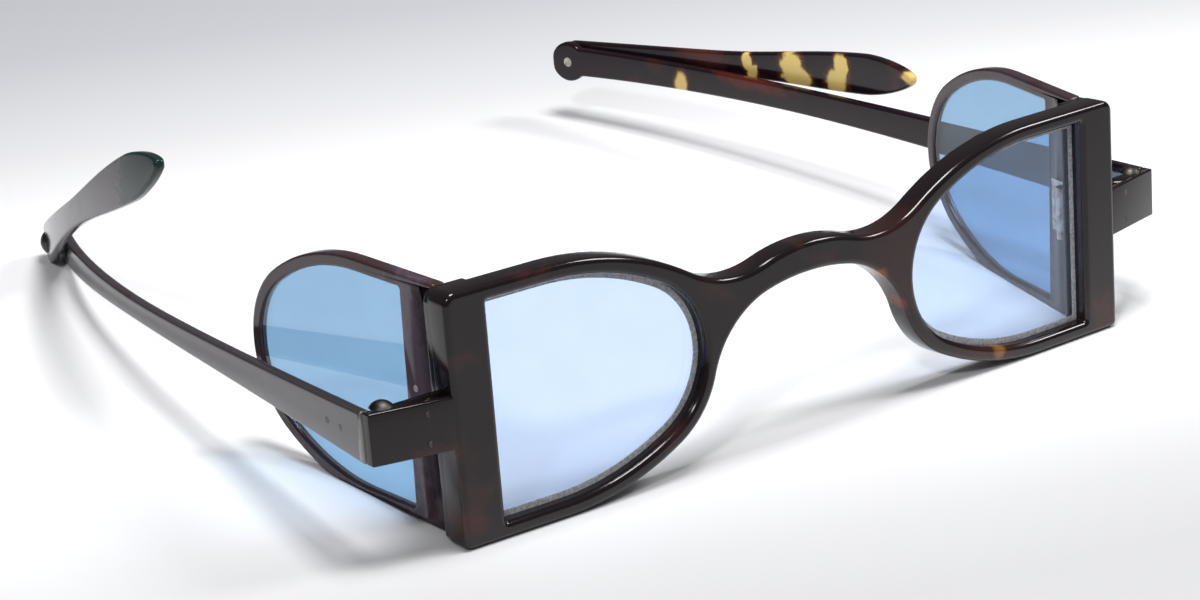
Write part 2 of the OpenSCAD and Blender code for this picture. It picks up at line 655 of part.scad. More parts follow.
// The tips
module tip(side) {
    turns = [for (i = [0:tip_steps]) tip_angle(i * tip_ds)];
    halves = [for (i = [0:tip_steps]) max(0.02, tip_half(i / tip_steps))];
    outer = [for (i = [0:tip_steps]) tip_line[i] + tip_t / 2 * [cos(turns[i]), sin(turns[i])]];
    inner = [for (i = [tip_steps:-1:0]) tip_line[i] - tip_t / 2 * [cos(turns[i]), sin(turns[i])]];
    top = [for (i = [0:tip_steps]) [tip_line[i][1], halves[i]]];
    low = [for (i = [tip_steps:-1:0]) [tip_line[i][1], -halves[i]]];
    color(shell_colour) tip_space(side) difference() {
        union() {
            intersection() {
                translate([0, 0, -long_cut / 2]) linear_extrude(long_cut)
                    polygon(concat(outer, inner));
                rotate([90, 0, 90]) translate([0, 0, -long_cut / 2]) linear_extrude(long_cut)
                    polygon(concat(top, low));
            }
            translate([tip_seat - tip_t / 2, 0, 0]) rotate([0, 90, 0])
                cylinder(r = tip_end_r, h = tip_t);
        }
        rotate([0, 90, 0]) cylinder(r = turn_pin_r + pin_clearance, h = 2 * tip_seat, $fn = turn_fn);
    }
}

module turn_pin(side) {
    head = tip_seat + tip_t / 2 + turning_gap;
    color(steel_colour) turn_space(side) rotate([0, 90, 0]) {
        translate([0, 0, -arm_t / 2]) cylinder(r = turn_pin_r, h = head + arm_t / 2, $fn = turn_fn);
        translate([0, 0, head]) dome(turn_head_r, dome_h);
    }
}

module turn_washer(side) {
    color(steel_colour) turn_space(side) rotate([0, 90, 0])
        translate([0, 0, arm_t / 2 + turning_gap]) difference() {
            cylinder(r = washer_r, h = washer_t);
            translate([0, 0, -1]) cylinder(r = turn_pin_r + rivet_clearance, h = washer_t + 2, $fn = turn_fn);
        }
}

front_frame();
front_lens(-1);  // right_front_lens
front_lens(1);  // left_front_lens
flap_frame(-1);  // right_flap_frame
flap_frame(1);  // left_flap_frame
flap_lens(-1);  // right_flap_lens
flap_lens(1);  // left_flap_lens
bar_leaf(-1);  // right_bar_leaf
bar_leaf(1);  // left_bar_leaf
flap_leaf(-1);  // right_flap_leaf
flap_leaf(1);  // left_flap_leaf
flap_pin(-1);  // right_flap_pin
flap_pin(1);  // left_flap_pin
flap_rivets(-1);  // right_flap_rivets
flap_rivets(1);  // left_flap_rivets
bar_rivets(-1);  // right_bar_rivets
bar_rivets(1);  // left_bar_rivets
lug_leaf(-1);  // right_lug_leaf
lug_leaf(1);  // left_lug_leaf
arm_leaf(-1);  // right_arm_leaf
arm_leaf(1);  // left_arm_leaf
hinge_pin(-1);  // right_hinge_pin
hinge_pin(1);  // left_hinge_pin
lug_rivets(-1);  // right_lug_rivets
lug_rivets(1);  // left_lug_rivets
arm_rivets(-1);  // right_arm_rivets
arm_rivets(1);  // left_arm_rivets
arm(-1);  // right_arm
arm(1);  // left_arm
tip(-1);  // right_tip
tip(1);  // left_tip
turn_pin(-1);  // right_turn_pin
turn_pin(1);  // left_turn_pin
turn_washer(-1);  // right_turn_washer
turn_washer(1);  // left_turn_washer
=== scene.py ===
"""Tortoiseshell spectacles with four blue lenses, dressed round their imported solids."""
import json
import math

import bmesh
import bpy
import numpy as np
from bpy.props import FloatProperty, FloatVectorProperty, IntProperty, PointerProperty
from mathutils import Matrix, Vector
from mathutils.geometry import tessellate_polygon


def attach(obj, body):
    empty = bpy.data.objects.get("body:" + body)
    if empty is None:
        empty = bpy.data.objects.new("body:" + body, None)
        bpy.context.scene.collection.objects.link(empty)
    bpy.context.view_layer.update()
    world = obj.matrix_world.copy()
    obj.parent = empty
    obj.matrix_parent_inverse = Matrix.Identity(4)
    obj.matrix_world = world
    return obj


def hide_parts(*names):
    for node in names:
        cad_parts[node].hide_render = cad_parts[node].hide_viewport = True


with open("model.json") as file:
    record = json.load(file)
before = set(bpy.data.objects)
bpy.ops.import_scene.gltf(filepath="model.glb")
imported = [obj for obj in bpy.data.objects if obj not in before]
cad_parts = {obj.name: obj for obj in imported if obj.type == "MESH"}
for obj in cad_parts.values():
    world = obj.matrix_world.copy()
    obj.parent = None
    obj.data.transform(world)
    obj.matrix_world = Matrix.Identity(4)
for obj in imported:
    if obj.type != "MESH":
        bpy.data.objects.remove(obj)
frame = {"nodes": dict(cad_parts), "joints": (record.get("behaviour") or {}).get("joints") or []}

bl_info = {
    "name": "Spectacles with side lenses",
    "version": (1, 0, 0),
    "blender": (4, 5, 0),
    "location": "View3D > Sidebar > Spectacles",
    "description": "Dresses tortoiseshell spectacles in polished shell, blue glass and worn steel",
    "category": "Object",
}

MM = 0.001
SIDES = {"right": -1, "left": 1}
JOINTS = {joint["name"]: joint for joint in frame["joints"]}
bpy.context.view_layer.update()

# Sizes of the solids in millimetres and degrees, as in the part's source
LEAN, SWEEP = 5.2, 1.2
FRONT_HALF_W, FRONT_H, BAR_W, BAR_T, RIM_T, RIM_W = 55.4, 32.0, 6.0, 4.8, 3.8, 2.0
BAR_TOP_R, BAR_FOOT_R = 1.6, 0.8
EYE_W, EYE_STRAIGHT, EYE_NOSE_R = 31.9, 9.0, 11.0
CREST_Z, DIP_Z, DIP_X, SHOULDER_R, SHOULDER_X = 25.7, 23.9, 11.6, 40.0, 40.0
ARCH_Z, ARCH_R, ARCH_SIDE_R = 21.65, 28.0, 13.0
LENS_SET_BACK = 2.015
LUG_END_X, LUG_H, LUG_MID_Z, LUG_REAR = 65.7, 6.6, 16.25, 4.0
ARM_PIN = (62.9, 4.0, 16.25)
ARM_L, ARM_T, ARM_END_R, ARM_BOW, ARM_BOW_POWER, ARM_CROWN = 116.0, 1.6, 3.2, 15.0, 3.2, 0.5
ARM_WAIST_PLACE, ARM_FRONT_POWER, ARM_END_POWER, ARM_END_SWELL = 0.62, 1.6, 1.8, 1.45
ARM_OFFSET, STOP_GAP, KNUCKLE_ROOM = 1.5, 0.15, 1.15
ARM_WAIST_H = {"right": 3.0, "left": 3.9}
ARM_ANGLE = {"right": 6.3, "left": 0.7}
ARM_RISE = {"right": -2.489, "left": 4.6}
FLAP_PIN = (51.05, 5.95, 16.25)
FLAP_EYE_W, FLAP_EYE_H, FLAP_RIM_W, FLAP_T, FLAP_BAR_W = 30.4, 28.4, 1.7, 2.0, 7.0
FLAP_MID_Z, FLAP_TILT = 16.5, 2.0
FLAP_SPLAY = {"right": 4.0, "left": 14.0}
TIP_L, TIP_T, TIP_WAIST_H, TIP_LEAF_H, TIP_END_R, TIP_BEND = 70.5, 1.5, 4.0, 6.4, 3.0, 17.0
TIP_WAIST_PLACE, TIP_LEAF_PLACE, TIP_BLUNTNESS, TIP_SEAT = 0.42, 0.85, 1.6, 1.95
TIP_ROOT_POWER = 1.5
TIP_TURN = {"right": 158.0, "left": 176.5}
EYE_EDGE_X = FRONT_HALF_W - BAR_W
EYE_H = FRONT_H - 2 * RIM_W

# Finish of the shell in millimetres and shares of a size
FLUSH = 0.012               # the dressed faces lie this far inside the solids'
BACK_ROUND = 0.3            # rounding at the back of the front
BAR_SIDE_ROUND, BAR_BACK_ROUND = 0.1, 0.4
LUG_ROUND = 0.22
FLAP_ROUND_SHARE, STRIP_ROUND_SHARE = 0.5, 0.65
FRONT_CORNER, EYE_CORNER, FLAP_CORNER, BAR_CORNER, LUG_CORNER = 0.3, 0.35, 0.35, 0.5, 0.25
BAR_BACK_FROM = 2.0         # the dressed back of a bar starts at this depth
BAR_FOOT_Z, BAR_FOOT_CUT, BAR_TOP_CUT_X, BAR_TOP_CUT_Z = 0.05, 0.85, 0.5, 0.45
LUG_ROOT = 3.0              # a lug reaches this far into its bar
LUG_FACE_Y = (0.25, 0.2, 2.5)   # depth of its face at the root, at the bar and at its end
FLAP_HINGE_EDGE = -1.0      # a flap's hinge edge, measured from its pin
FLAP_SLANT_END, FLAP_SLANT_GAP = 2.5, 0.02
BAND_REACH, BAND_HALF_T, BAND_CORNER, BAND_ROUND = 0.2, 0.02, 0.3, 0.005
CAP_STEP = 0.12             # a flat step between a rounded edge and the flat face
MITRE_LIMIT = 0.4           # keeps the mitre of a sharp corner short
STRIP_END_ROUND = 0.6       # an arm or tip grows thin over this length at its end
ARM_START_ROUND = 0.3       # rounding at the hinge end of an arm
STOP_REACH = 3.0            # an arm's slanting stop face dies out over this length
LEAF_TRIM, LEAF_END_TRIM, TIP_END_TRIM = 0.98, 0.125, 0.1
ARM_CROWD, TIP_CROWD = 7.0, 12.4    # the rings crowd together over this length at the end
LEAST_HALF_H = 0.02         # least half height of an arm or a tip
FINE_STEPS = 1200           # points along the middle line of a bent strip
ON_MIDDLE = 1e-6            # a point nearer than this to the middle plane lies on it

# Shell of each body: seed and red clouds of its mottle, its ground where it isn't the common one,
# how strongly it mirrors the light, and its patches as centre and reach in millimetres, tint,
# strength and softness; one patch on the right arm is a painted highlight and one on the right tip
# a painted reflection
AMBER = "amber"
RUST = (0.16, 0.03, 0.02)
FRINGE = (0.15, 0.045, 0.012)
FLAP_SHELL = {
    "red_level": 0.5, "ground": (0.042, 0.025, 0.031),
    "patches": [((-51.5, -51.0, 16.5), (6.0, 8.5, 16.0), (0.105, 0.075, 0.105), 1.0, 0.3)],
}
STRIP_SHELL = {"red_level": 0.58, "ground": (0.012, 0.006, 0.009), "mirror": 0.26}
SHELLS = {
    "front": {"seed": 2.0, "patches": [
        ((12.0, -60.0, 17.9), (0.8, 2.0, 1.2), (0.42, 0.095, 0.022), 0.9, 0.55),
        ((14.9, -60.0, 13.3), (1.3, 2.0, 0.9), (0.28, 0.055, 0.02), 0.9, 0.55),
        ((32.5, -62.0, 2.7), (1.0, 3.0, 1.1), (0.60, 0.26, 0.05), 0.7, 0.5),
        ((15.0, -60.0, 20.0), (5.0, 4.0, 8.0), (0.040, 0.012, 0.010), 0.6, 0.7),
        ((30.0, -62.0, 3.0), (6.0, 4.0, 3.0), (0.050, 0.016, 0.010), 0.6, 0.7),
        ((-54.0, -61.5, 3.4), (2.0, 3.0, 1.6), (0.06, 0.010, 0.013), 0.5, 0.6),
    ]},
    "right_flap": {"seed": 4.0, **FLAP_SHELL},
    "left_flap": {"seed": 6.0, **FLAP_SHELL},
    "right_arm": {**STRIP_SHELL, "seed": 8.0, "ground": (0.045, 0.036, 0.040), "mirror": 0.5,
                  "patches": [
        # a pale painted highlight along the arm's front corner, where its edge catches the light
        ((-65.9, -56.0, 15.8), (3.0, 0.6, 4.0), (0.36, 0.34, 0.33), 0.8, 0.4),
    ]},
    "left_arm": {**STRIP_SHELL, "seed": 10.0, "patches": [
        ((58.1, 36.3, 10.7), (3.0, 1.2, 1.8), AMBER, 0.75, 0.3),
        ((60.2, 21.9, 14.0), (3.0, 7.0, 1.2), (0.14, 0.02, 0.01), 0.55, 0.6),
    ]},
    "right_tip": {**STRIP_SHELL, "seed": 13.0, "ground": (0.075, 0.063, 0.070), "patches": [
        # a dark green-blue painted reflection over the tip's leaf
        ((-59.8, -1.0, 34.5), (4.0, 12.5, 11.0), (0.012, 0.026, 0.026), 1.0, 0.1),
    ]},
    "left_tip": {**STRIP_SHELL, "seed": 15.0, "patches": [
        ((62.7, 25.6, 16.2), (3.0, 1.0, 1.3), AMBER, 1.0, 0.2),
        ((62.8, 24.3, 14.6), (3.0, 1.1, 1.2), AMBER, 1.0, 0.2),
        ((63.9, 16.4, 17.6), (3.0, 2.1, 1.7), AMBER, 1.0, 0.2),
        ((64.0, 15.2, 15.6), (3.0, 2.6, 1.6), AMBER, 1.0, 0.2),
        ((64.7, 5.8, 19.2), (3.0, 1.6, 1.7), AMBER, 1.0, 0.2),
        ((64.7, 6.6, 16.6), (3.0, 2.2, 2.0), AMBER, 1.0, 0.2),
        ((65.6, -9.4, 20.9), (3.0, 2.3, 1.1), AMBER, 0.8, 0.25),
        ((61.0, 34.5, 15.2), (3.0, 5.0, 1.3), RUST, 0.45, 0.6),
    ]},
}

# How bright the lug and arm rivets and the hinge pins are beside bare steel
RIVET_BRIGHTNESS, PIN_BRIGHTNESS = 0.28, 0.14

# Shadows thrown by the lenses
FRONT_SHADOW_TINT = (0.76, 0.80, 0.88)
SIDE_SHADOW_TINT = (0.60, 0.67, 0.76)

# Stage: tones of the floor across the picture, which are painted light (bright where the lamps'
# light pools, darker towards the foreground and the far side), the strength of the surround, and
# lamps as name, place, width in metres, watts and the place each one is aimed at
SURROUND, MIRRORED_SURROUND = 0.15, 0.12
FLOOR_SIDE = 9              # points along each side of the floor
FLOOR_DIRECTION = (0.3, 1.0, 0.0)
FLOOR_FROM, FLOOR_TO = -0.2, 0.3
# painted light on the floor: brightest in a band across the middle, darker towards both ends
FLOOR_PAINTED_LIGHT = [
    (0.0, (0.62, 0.62, 0.63)), (0.18, (0.58, 0.58, 0.59)), (0.22, (0.64, 0.64, 0.65)),
    (0.32, (0.93, 0.93, 0.94)), (0.52, (0.95, 0.95, 0.96)), (0.59, (0.78, 0.78, 0.80)),
    (0.70, (0.63, 0.64, 0.67)), (1.0, (0.60, 0.61, 0.64)),
]
LAMPS = (
    ("overhead_box", (0.02, -0.065, 0.42), 0.15, 1.66, (0.02, -0.065, 0.0)),
    ("right_box", (0.627, -0.266, 0.646), 0.21, 2.8, (0.0, 0.0, 0.0)),
    ("left_lamp", (-0.58, -0.42, 0.69), 0.10, 2.5, (0.0, 0.0, 0.0)),
)


# Places


def turning(axis, degrees):
    """A 4 by 4 turn about one axis."""
    return np.array(Matrix.Rotation(math.radians(degrees), 4, axis))


def moving(x, y, z):
    """A 4 by 4 move."""
    return np.array(Matrix.Translation((x, y, z)))


def half_space(word):
    """From one half of the front (x outwards, y back, z up) to the frame, all in millimetres."""
    lean = turning("X", -LEAN) @ np.diag([SIDES[word], 1, 1, 1]) @ turning("Z", SWEEP)
    pin = np.array(JOINTS[f"{word}_arm_fold"]["pos_m"]) / MM
    return moving(*(pin - (lean @ np.array([*ARM_PIN, 1]))[:3])) @ lean


def arm_space(word):
    """From an arm, made round its hinge pin, to the frame."""
    return half_space(word) @ moving(*ARM_PIN) @ turning("Z", ARM_ANGLE[word])


def flap_space(word):
    """From a flap, made round its pin with z from the foot of the front, to the frame."""
    pin = moving(FLAP_PIN[0], FLAP_PIN[1], 0)
    return half_space(word) @ pin @ turning("Z", -FLAP_SPLAY[word])


def tip_space(word):
    """From a tip, made round its turn pin, to the frame."""
    end = arm_line(np.array([ARM_L]))[0][0]
    turned = moving(end[0], end[1], ARM_RISE[word]) @ turning("Z", ARM_BOW)
    return arm_space(word) @ turned @ turning("X", TIP_TURN[word])


def placed(points, space):
    """Points in millimetres carried to the frame in metres, none of them under the floor."""
    world = (points @ space[:3, :3].T + space[:3, 3]) * MM
    world[:, 2] = np.maximum(world[:, 2], 0.0)
    return world


# Outlines


def arc(centre, r, start, end, step=2.5):
    """Points of an arc from one angle to another: centre plus r times cosine and sine."""
    count = max(3, int(abs(end - start) / step) + 2)
    a = np.radians(np.linspace(start, end, count))
    return np.stack([centre[0] + r * np.cos(a), centre[1] + r * np.sin(a)], -1)


def long_arc(width, height, straight, nose_r):
    """Radius of the arc from a D's straight side to its nose circle, and the angle where they meet.
    Both circles are tangent, so the distance of their centres is the difference of their radii."""
    half, reach = height / 2, width - straight - nose_r
    r = (reach ** 2 + half ** 2 - nose_r ** 2) / (2 * (half - nose_r))
    return r, math.degrees(math.atan2(r - half, reach))


def d_shape(width, height, straight, nose_r, grow):
    """A D lying on the vertical axis with its nose to the right.
    Straight sides run into a long arc and a nose circle, each tangent to the next."""
    half = height / 2
    r, a = long_arc(width, height, straight, nose_r)
    return np.vstack([
        [[-grow, -half - grow]],
        arc((straight, r - half), r + grow, -90, -a),
        arc((width - nose_r, 0), nose_r + grow, -a, a)[1:],
        arc((straight, half - r), r + grow, a, 90)[1:],
        [[-grow, half + grow]],
    ])


def front_half_outline():
    """Half of the front from the crest round the bar and back to the arch.
    Crest, dip and shoulder circles are tangent; so are the rim, the side circle and the arch."""
    shoulder_z = FRONT_H - SHOULDER_R
    rise, dx = DIP_Z - shoulder_z, SHOULDER_X - DIP_X
    dip_r = (dx ** 2 + rise ** 2 - SHOULDER_R ** 2) / (2 * (SHOULDER_R - rise))
    dip_z = DIP_Z + dip_r
    dip_a = math.degrees(math.atan2(dip_z - shoulder_z, -dx))
    gap = dip_z - CREST_Z
    crest_r = (DIP_X ** 2 + gap ** 2 - dip_r ** 2) / (2 * (dip_r - gap))
    crest_a = math.degrees(math.atan2(gap + crest_r, DIP_X))

    mid_z, arch_z = FRONT_H / 2, ARCH_Z - ARCH_R
    nose_x, nose_r = EYE_EDGE_X - EYE_W + EYE_NOSE_R, EYE_NOSE_R + RIM_W
    reach_x, reach_z = nose_x, mid_z - arch_z
    span = math.hypot(reach_x, reach_z)
    near, far = ARCH_R - ARCH_SIDE_R, nose_r + ARCH_SIDE_R
    along = (near ** 2 - far ** 2 + span ** 2) / (2 * span)
    across = math.sqrt(near ** 2 - along ** 2)
    side_x = (along * reach_x - across * reach_z) / span
    side_z = (along * reach_z + across * reach_x) / span + arch_z
    side_start = math.degrees(math.atan2(mid_z - side_z, nose_x - side_x))
    side_end = math.degrees(math.atan2(side_z - arch_z, side_x))
    big_r, big_a = long_arc(EYE_W, EYE_H, EYE_STRAIGHT, EYE_NOSE_R)
    top, foot = BAR_TOP_R, BAR_FOOT_R
    return np.vstack([
        arc((0, CREST_Z - crest_r), crest_r, 90, crest_a),
        arc((DIP_X, dip_z), dip_r, 180 + crest_a, 180 + dip_a)[1:],
        arc((SHOULDER_X, shoulder_z), SHOULDER_R, dip_a, 90)[1:],
        arc((FRONT_HALF_W - top, FRONT_H - top), top, 90, 0, 9),
        arc((FRONT_HALF_W - foot, foot), foot, 0, -90, 15),
        arc((EYE_EDGE_X - EYE_STRAIGHT, big_r + RIM_W), big_r + RIM_W, -90, big_a - 180),
        arc((nose_x, mid_z), nose_r, 180 + big_a, 180 + side_start)[1:],
        arc((side_x, side_z), ARCH_SIDE_R, side_start, side_end)[1:],
        arc((0, arch_z), ARCH_R, side_end, 90)[1:],
    ])


def eye_outline(grow=0.0):
    """The lens opening of one half, made wider all round by a given amount."""
    shape = d_shape(EYE_W, EYE_H, EYE_STRAIGHT, EYE_NOSE_R, grow)
    return shape * [-1, 1] + [EYE_EDGE_X, FRONT_H / 2]


def bar_outline():
    """The back of a bar, seen from the front: an upright with cut corners."""
    side, top, foot = FRONT_HALF_W - FLUSH, FRONT_H - FLUSH, BAR_FOOT_Z
    return np.array([
        [EYE_EDGE_X, foot], [FRONT_HALF_W - BAR_FOOT_CUT, foot], [side, BAR_FOOT_CUT],
        [side, FRONT_H - BAR_TOP_R], [FRONT_HALF_W - BAR_TOP_CUT_X, FRONT_H - BAR_TOP_CUT_Z],
        [FRONT_HALF_W - BAR_TOP_R, top], [EYE_EDGE_X, top],
    ])


def lug_outline():
    """A lug seen from above: it narrows outwards, with a round notch for the knuckles."""
    root = FRONT_HALF_W - LUG_ROOT
    root_y, bar_y, end_y = LUG_FACE_Y
    notch = arc(ARM_PIN[:2], KNUCKLE_ROOM, 0, -180, 12)
    return np.vstack([
        [[root, root_y], [FRONT_HALF_W, bar_y + FLUSH], [LUG_END_X, end_y + FLUSH],
         [LUG_END_X, LUG_REAR]], notch, [[root, LUG_REAR]],
    ])


def rounded(points, radius, least_bend=20, longest=0.45, steps=5):
    """A polygon whose corners are replaced by small parabolas tangent to both sides.
    A corner bent by less than least_bend degrees stays, and no curve takes more than the share
    `longest` of a side."""
    out = []
    count = len(points)
    for i in range(count):
        p, before, after = points[i], points[i - 1], points[(i + 1) % count]
        a, b = before - p, after - p
        la, lb = np.linalg.norm(a), np.linalg.norm(b)
        a, b = a / la, b / lb
        bend = math.pi - math.acos(max(-1.0, min(1.0, float(a @ b))))
        if bend < math.radians(least_bend):
            out.append(p)
            continue
        reach = min(radius * math.tan(bend / 2), la * longest, lb * longest)
        start, end = p + a * reach, p + b * reach
        for t in np.linspace(0, 1, steps + 1):
            out.append((1 - t) ** 2 * start + 2 * t * (1 - t) * p + t ** 2 * end)
    return np.array(out)


def wound(points, forwards=True):
    """The same loop, turning anticlockwise, or clockwise for a hole."""
    x, y = points[:, 0], points[:, 1]
    area = (x * np.roll(y, -1) - np.roll(x, -1) * y).sum()
    return points if (area > 0) == forwards else points[::-1]


def mitres(loop):
    """The step inwards at each corner that keeps both of its sides parallel."""
    ahead = np.roll(loop, -1, 0) - loop
    ahead /= np.linalg.norm(ahead, axis=1)[:, None]
    inward = np.stack([-ahead[:, 1], ahead[:, 0]], -1)
    previous = np.roll(inward, 1, 0)
    return (inward + previous) / np.maximum(1 + (inward * previous).sum(1), MITRE_LIMIT)[:, None]


def halves(ring):
    """The places in a symmetrical ring where it crosses the middle, as two chains."""
    first, second = np.flatnonzero(np.abs(ring[:, 0]) < ON_MIDDLE)[[0, -1]]
    whole = np.arange(len(ring))
    return whole[first:second + 1], np.concatenate([whole[second:], whole[:first + 1]])


def edge_profile(low, high, low_round, high_round, steps):
    """Insets and depths from one flat face over two quarter circles to the other face.
    On a quarter circle the inset is r (1 - cos a), and the depth from its face r (1 - sin a)."""
    a = np.radians(np.linspace(90, 0, steps + 1))
    insets = np.concatenate([[low_round + CAP_STEP], low_round * (1 - np.cos(a)),
                             high_round * (1 - np.cos(a[::-1])), [high_round + CAP_STEP]])
    depths = np.concatenate([[low], low + low_round * (1 - np.sin(a)),
                             high - high_round * (1 - np.sin(a[::-1])), [high]])
    return insets, depths


def plate(loops, low, high, low_round, high_round, steps, mirrored=False):
    """A plate with rounded edges from flat loops, the first one outside and the rest holes.
    Each loop is stepped inwards along its mitres by the edge profile's insets.
    The flat faces of a mirrored plate are parted along its middle."""
    insets, depths = edge_profile(low, high, low_round, high_round, steps)
    points, faces, caps, base = [], [], ([], []), 0
    for number, loop in enumerate(loops):
        loop = wound(np.asarray(loop, float), number == 0)
        count = len(loop)
        rings = loop + mitres(loop) * insets[:, None, None]
        level = np.broadcast_to(depths[:, None, None], (len(depths), count, 1))
        points.append(np.concatenate([rings, level], -1).reshape(-1, 3))
        faces += grid_quads(len(depths), count, base)
        for cap, row in zip(caps, (0, len(depths) - 1)):
            cap.append((base + row * count + np.arange(count), rings[row]))
        base += len(depths) * count
    for cap in caps:
        areas = [cap]
        if mirrored:
            areas = []
            index, outer = cap[0]
            for chain in halves(outer):
                side = outer[chain, 0].mean()
                holes = [hole for hole in cap[1:] if hole[1][:, 0].mean() * side > 0]
                areas.append([(index[chain], outer[chain]), *holes])
        for area in areas:
            index = np.concatenate([places for places, ring in area])
            flat = [[Vector((x, y, 0.0)) for x, y in ring] for places, ring in area]
            faces += [[int(index[i]) for i in corners] for corners in tessellate_polygon(flat)]
    return np.vstack(points), faces


# Strips


def bent_line(s, fine, bend, start):
    """Places and turns along a bent strip whose turn at each fine place is given.
    The steps to the side and ahead are the sine and cosine of the turn, summed up."""
    step = np.radians((bend[1:] + bend[:-1]) / 2)
    length = fine[-1] / (len(fine) - 1)
    x = np.concatenate([[0], np.cumsum(-np.sin(step) * length)]) + start
    y = np.concatenate([[0], np.cumsum(np.cos(step) * length)])
    at = np.stack([np.interp(s, fine, x), np.interp(s, fine, y)], -1)
    return at, np.interp(s, fine, bend)


def arm_line(s):
    """Places and turns along an arm: the turn grows as a power of the length."""
    fine = np.linspace(0, ARM_L, FINE_STEPS)
    bow = ARM_BOW * np.minimum(1, fine / (ARM_L - ARM_END_R)) ** ARM_BOW_POWER
    at, turn = bent_line(s, fine, bow, ARM_OFFSET + ARM_T / 2)
    ahead = np.stack([-np.sin(np.radians(turn)), np.cos(np.radians(turn))], -1)
    return at + np.maximum(0, s - ARM_L)[:, None] * ahead, turn


def tip_line(s):
    """Places and turns along a tip: straight at its root, then bent evenly."""
    fine = np.linspace(0, TIP_L, FINE_STEPS)
    bend = TIP_BEND * np.maximum(0, (fine - TIP_END_R) / (TIP_L - TIP_END_R))
    at, turn = bent_line(s, fine, bend, TIP_SEAT)
    at[:, 1] += np.minimum(0, s)
    return at, turn


def strip(at, turn, middle, half, thickness, radius, around=5, room=0.98):
    """Rings of a bent flat strip: at each place a rectangle with corners rounded by an arc.
    Its half height, middle and thickness may change along the way, and an arc takes at most
    the share `room` of either."""
    r = np.minimum(radius, np.minimum(thickness / 2, half) * room)[:, None]
    thin, tall = thickness[:, None] / 2, half[:, None]
    corner = np.radians(np.linspace(0, 90, around))
    c, u = np.cos(corner), np.sin(corner)
    across, up = [], []
    for side, rise, turned in ((1, 1, 1), (-1, 1, -1), (-1, -1, 1), (1, -1, -1)):
        across.append(side * (thin - r + r * c[::turned]))
        up.append(rise * (tall - r + r * u[::turned]))
    across, up = np.concatenate(across, 1), np.concatenate(up, 1)
    a = np.radians(turn)[:, None]
    return np.stack([at[:, :1] + across * np.cos(a), at[:, 1:] + across * np.sin(a),
                     middle[:, None] + up], -1)


def end_thickness(distance, thickness, radius):
    """Thickness near a rounded end: about a quarter circle over the last stretch.
    It is the root of 1 - 0.9 k squared, where k grows from 0 to 1, and never under a quarter."""
    k = np.clip(1 - distance / radius, 0, 1)
    return thickness * np.maximum(0.25, np.sqrt(1 - 0.9 * k ** 2))


# Meshes


def grid_quads(rows, columns, base=0, wrapped=True):
    """Quads over points numbered row by row from a base; each row is a ring if wrapped."""
    j = np.arange(columns if wrapped else columns - 1)
    m = (j + 1) % columns
    i = base + np.arange(rows - 1)[:, None] * columns
    return np.stack([i + j, i + m, i + columns + m, i + columns + j], -1).reshape(-1, 4).tolist()


def joined(*parts):
    """Several closed shells as one list of points and faces."""
    points, faces, base = [], [], 0
    for part_points, part_faces in parts:
        points.append(part_points)
        faces += [[i + base for i in face] for face in part_faces]
        base += len(part_points)
    return np.vstack(points), faces


def ring_faces(rings):
    """Points and faces of a closed skin over a row of rings, its two ends closed by a pole each."""
    count, around = rings.shape[:2]
    points, faces = rings.reshape(-1, 3), grid_quads(count, around)
    j = np.arange(around)
    m = (j + 1) % around
    for row in (0, count - 1):
        pole = np.full(around, len(points))
        points = np.vstack([points, rings[row].mean(0)])
        faces += np.stack([row * around + j, row * around + m, pole], -1).tolist()
    return points, faces


def outward(mesh):
    """Turns all faces outwards."""
    work = bmesh.new()
    work.from_mesh(mesh)
    bmesh.ops.recalc_face_normals(work, faces=work.faces)
    work.to_mesh(mesh)
    work.free()


def mesh_piece(name, points, faces):
    """A new object from points in metres and faces, all turned outwards."""
    mesh = bpy.data.meshes.new(name)
    mesh.from_pydata(points.tolist(), [], faces)
    mesh.update()
    outward(mesh)
    return bpy.data.objects.new(name, mesh)


def give_finish(piece, material):
    """Makes a material the only one of a piece."""
    piece.data.materials.clear()
    piece.data.materials.append(material)


def link_piece(piece, body, material, smooth=True):
    """Puts a finished piece on its body with its finish."""
    give_finish(piece, material)
    if smooth:
        piece.data.polygons.foreach_set("use_smooth", [True] * len(piece.data.polygons))
    bpy.context.scene.collection.objects.link(piece)
    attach(piece, body)


# Node helpers

SOCKETS = {1: "NodeSocketFloat", 3: "NodeSocketVector", 4: "NodeSocketColor"}
ORIGIN, BLACK = (0.0, 0.0, 0.0), (0.0, 0.0, 0.0, 1.0)
ROWS, COLUMN_W, ROW_H = 6, 240, 220     # nodes in a column, and the room each one takes


def feed(tree, socket, value):
    """Links a socket to another one, or gives it a plain value."""
    if isinstance(value, bpy.types.NodeSocket):
        tree.links.new(value, socket)
    else:
        socket.default_value = value


def feed_all(tree, sockets, values):
    """Feeds sockets in order, as far as there are values."""
    for socket, value in zip(sockets, values):
        feed(tree, socket, value)


def add_node(tree, kind, **values):
    """A node in the next free place, with its settings set and its sockets fed."""
    column, row = divmod(len(tree.nodes), ROWS)
    node = tree.nodes.new(kind)
    node.location = (column * COLUMN_W, -row * ROW_H)
    for name, value in values.items():
        if hasattr(node, name):
            setattr(node, name, value)
        else:
            feed(tree, node.inputs[name.replace("_", " ")], value)
    return node


def maths(tree, operation, *values):
    """One sum on sockets or plain numbers."""
    node = add_node(tree, "ShaderNodeMath", operation=operation)
    feed_all(tree, node.inputs, values)
    return node.outputs[0]


def vector_maths(tree, operation, *values):
    """One sum on vectors; LENGTH and DOT_PRODUCT give a number."""
    node = add_node(tree, "ShaderNodeVectorMath", operation=operation)
    feed_all(tree, node.inputs, values)
    return node.outputs["Value" if operation in ("LENGTH", "DOT_PRODUCT") else "Vector"]


def spread(tree, value, low, high, to_low=0.0, to_high=1.0, kind="LINEAR"):
    """A value carried from one range to another and kept inside it."""
    node = add_node(tree, "ShaderNodeMapRange", interpolation_type=kind)
    feed_all(tree, node.inputs, (value, low, high, to_low, to_high))
    return node.outputs["Result"]


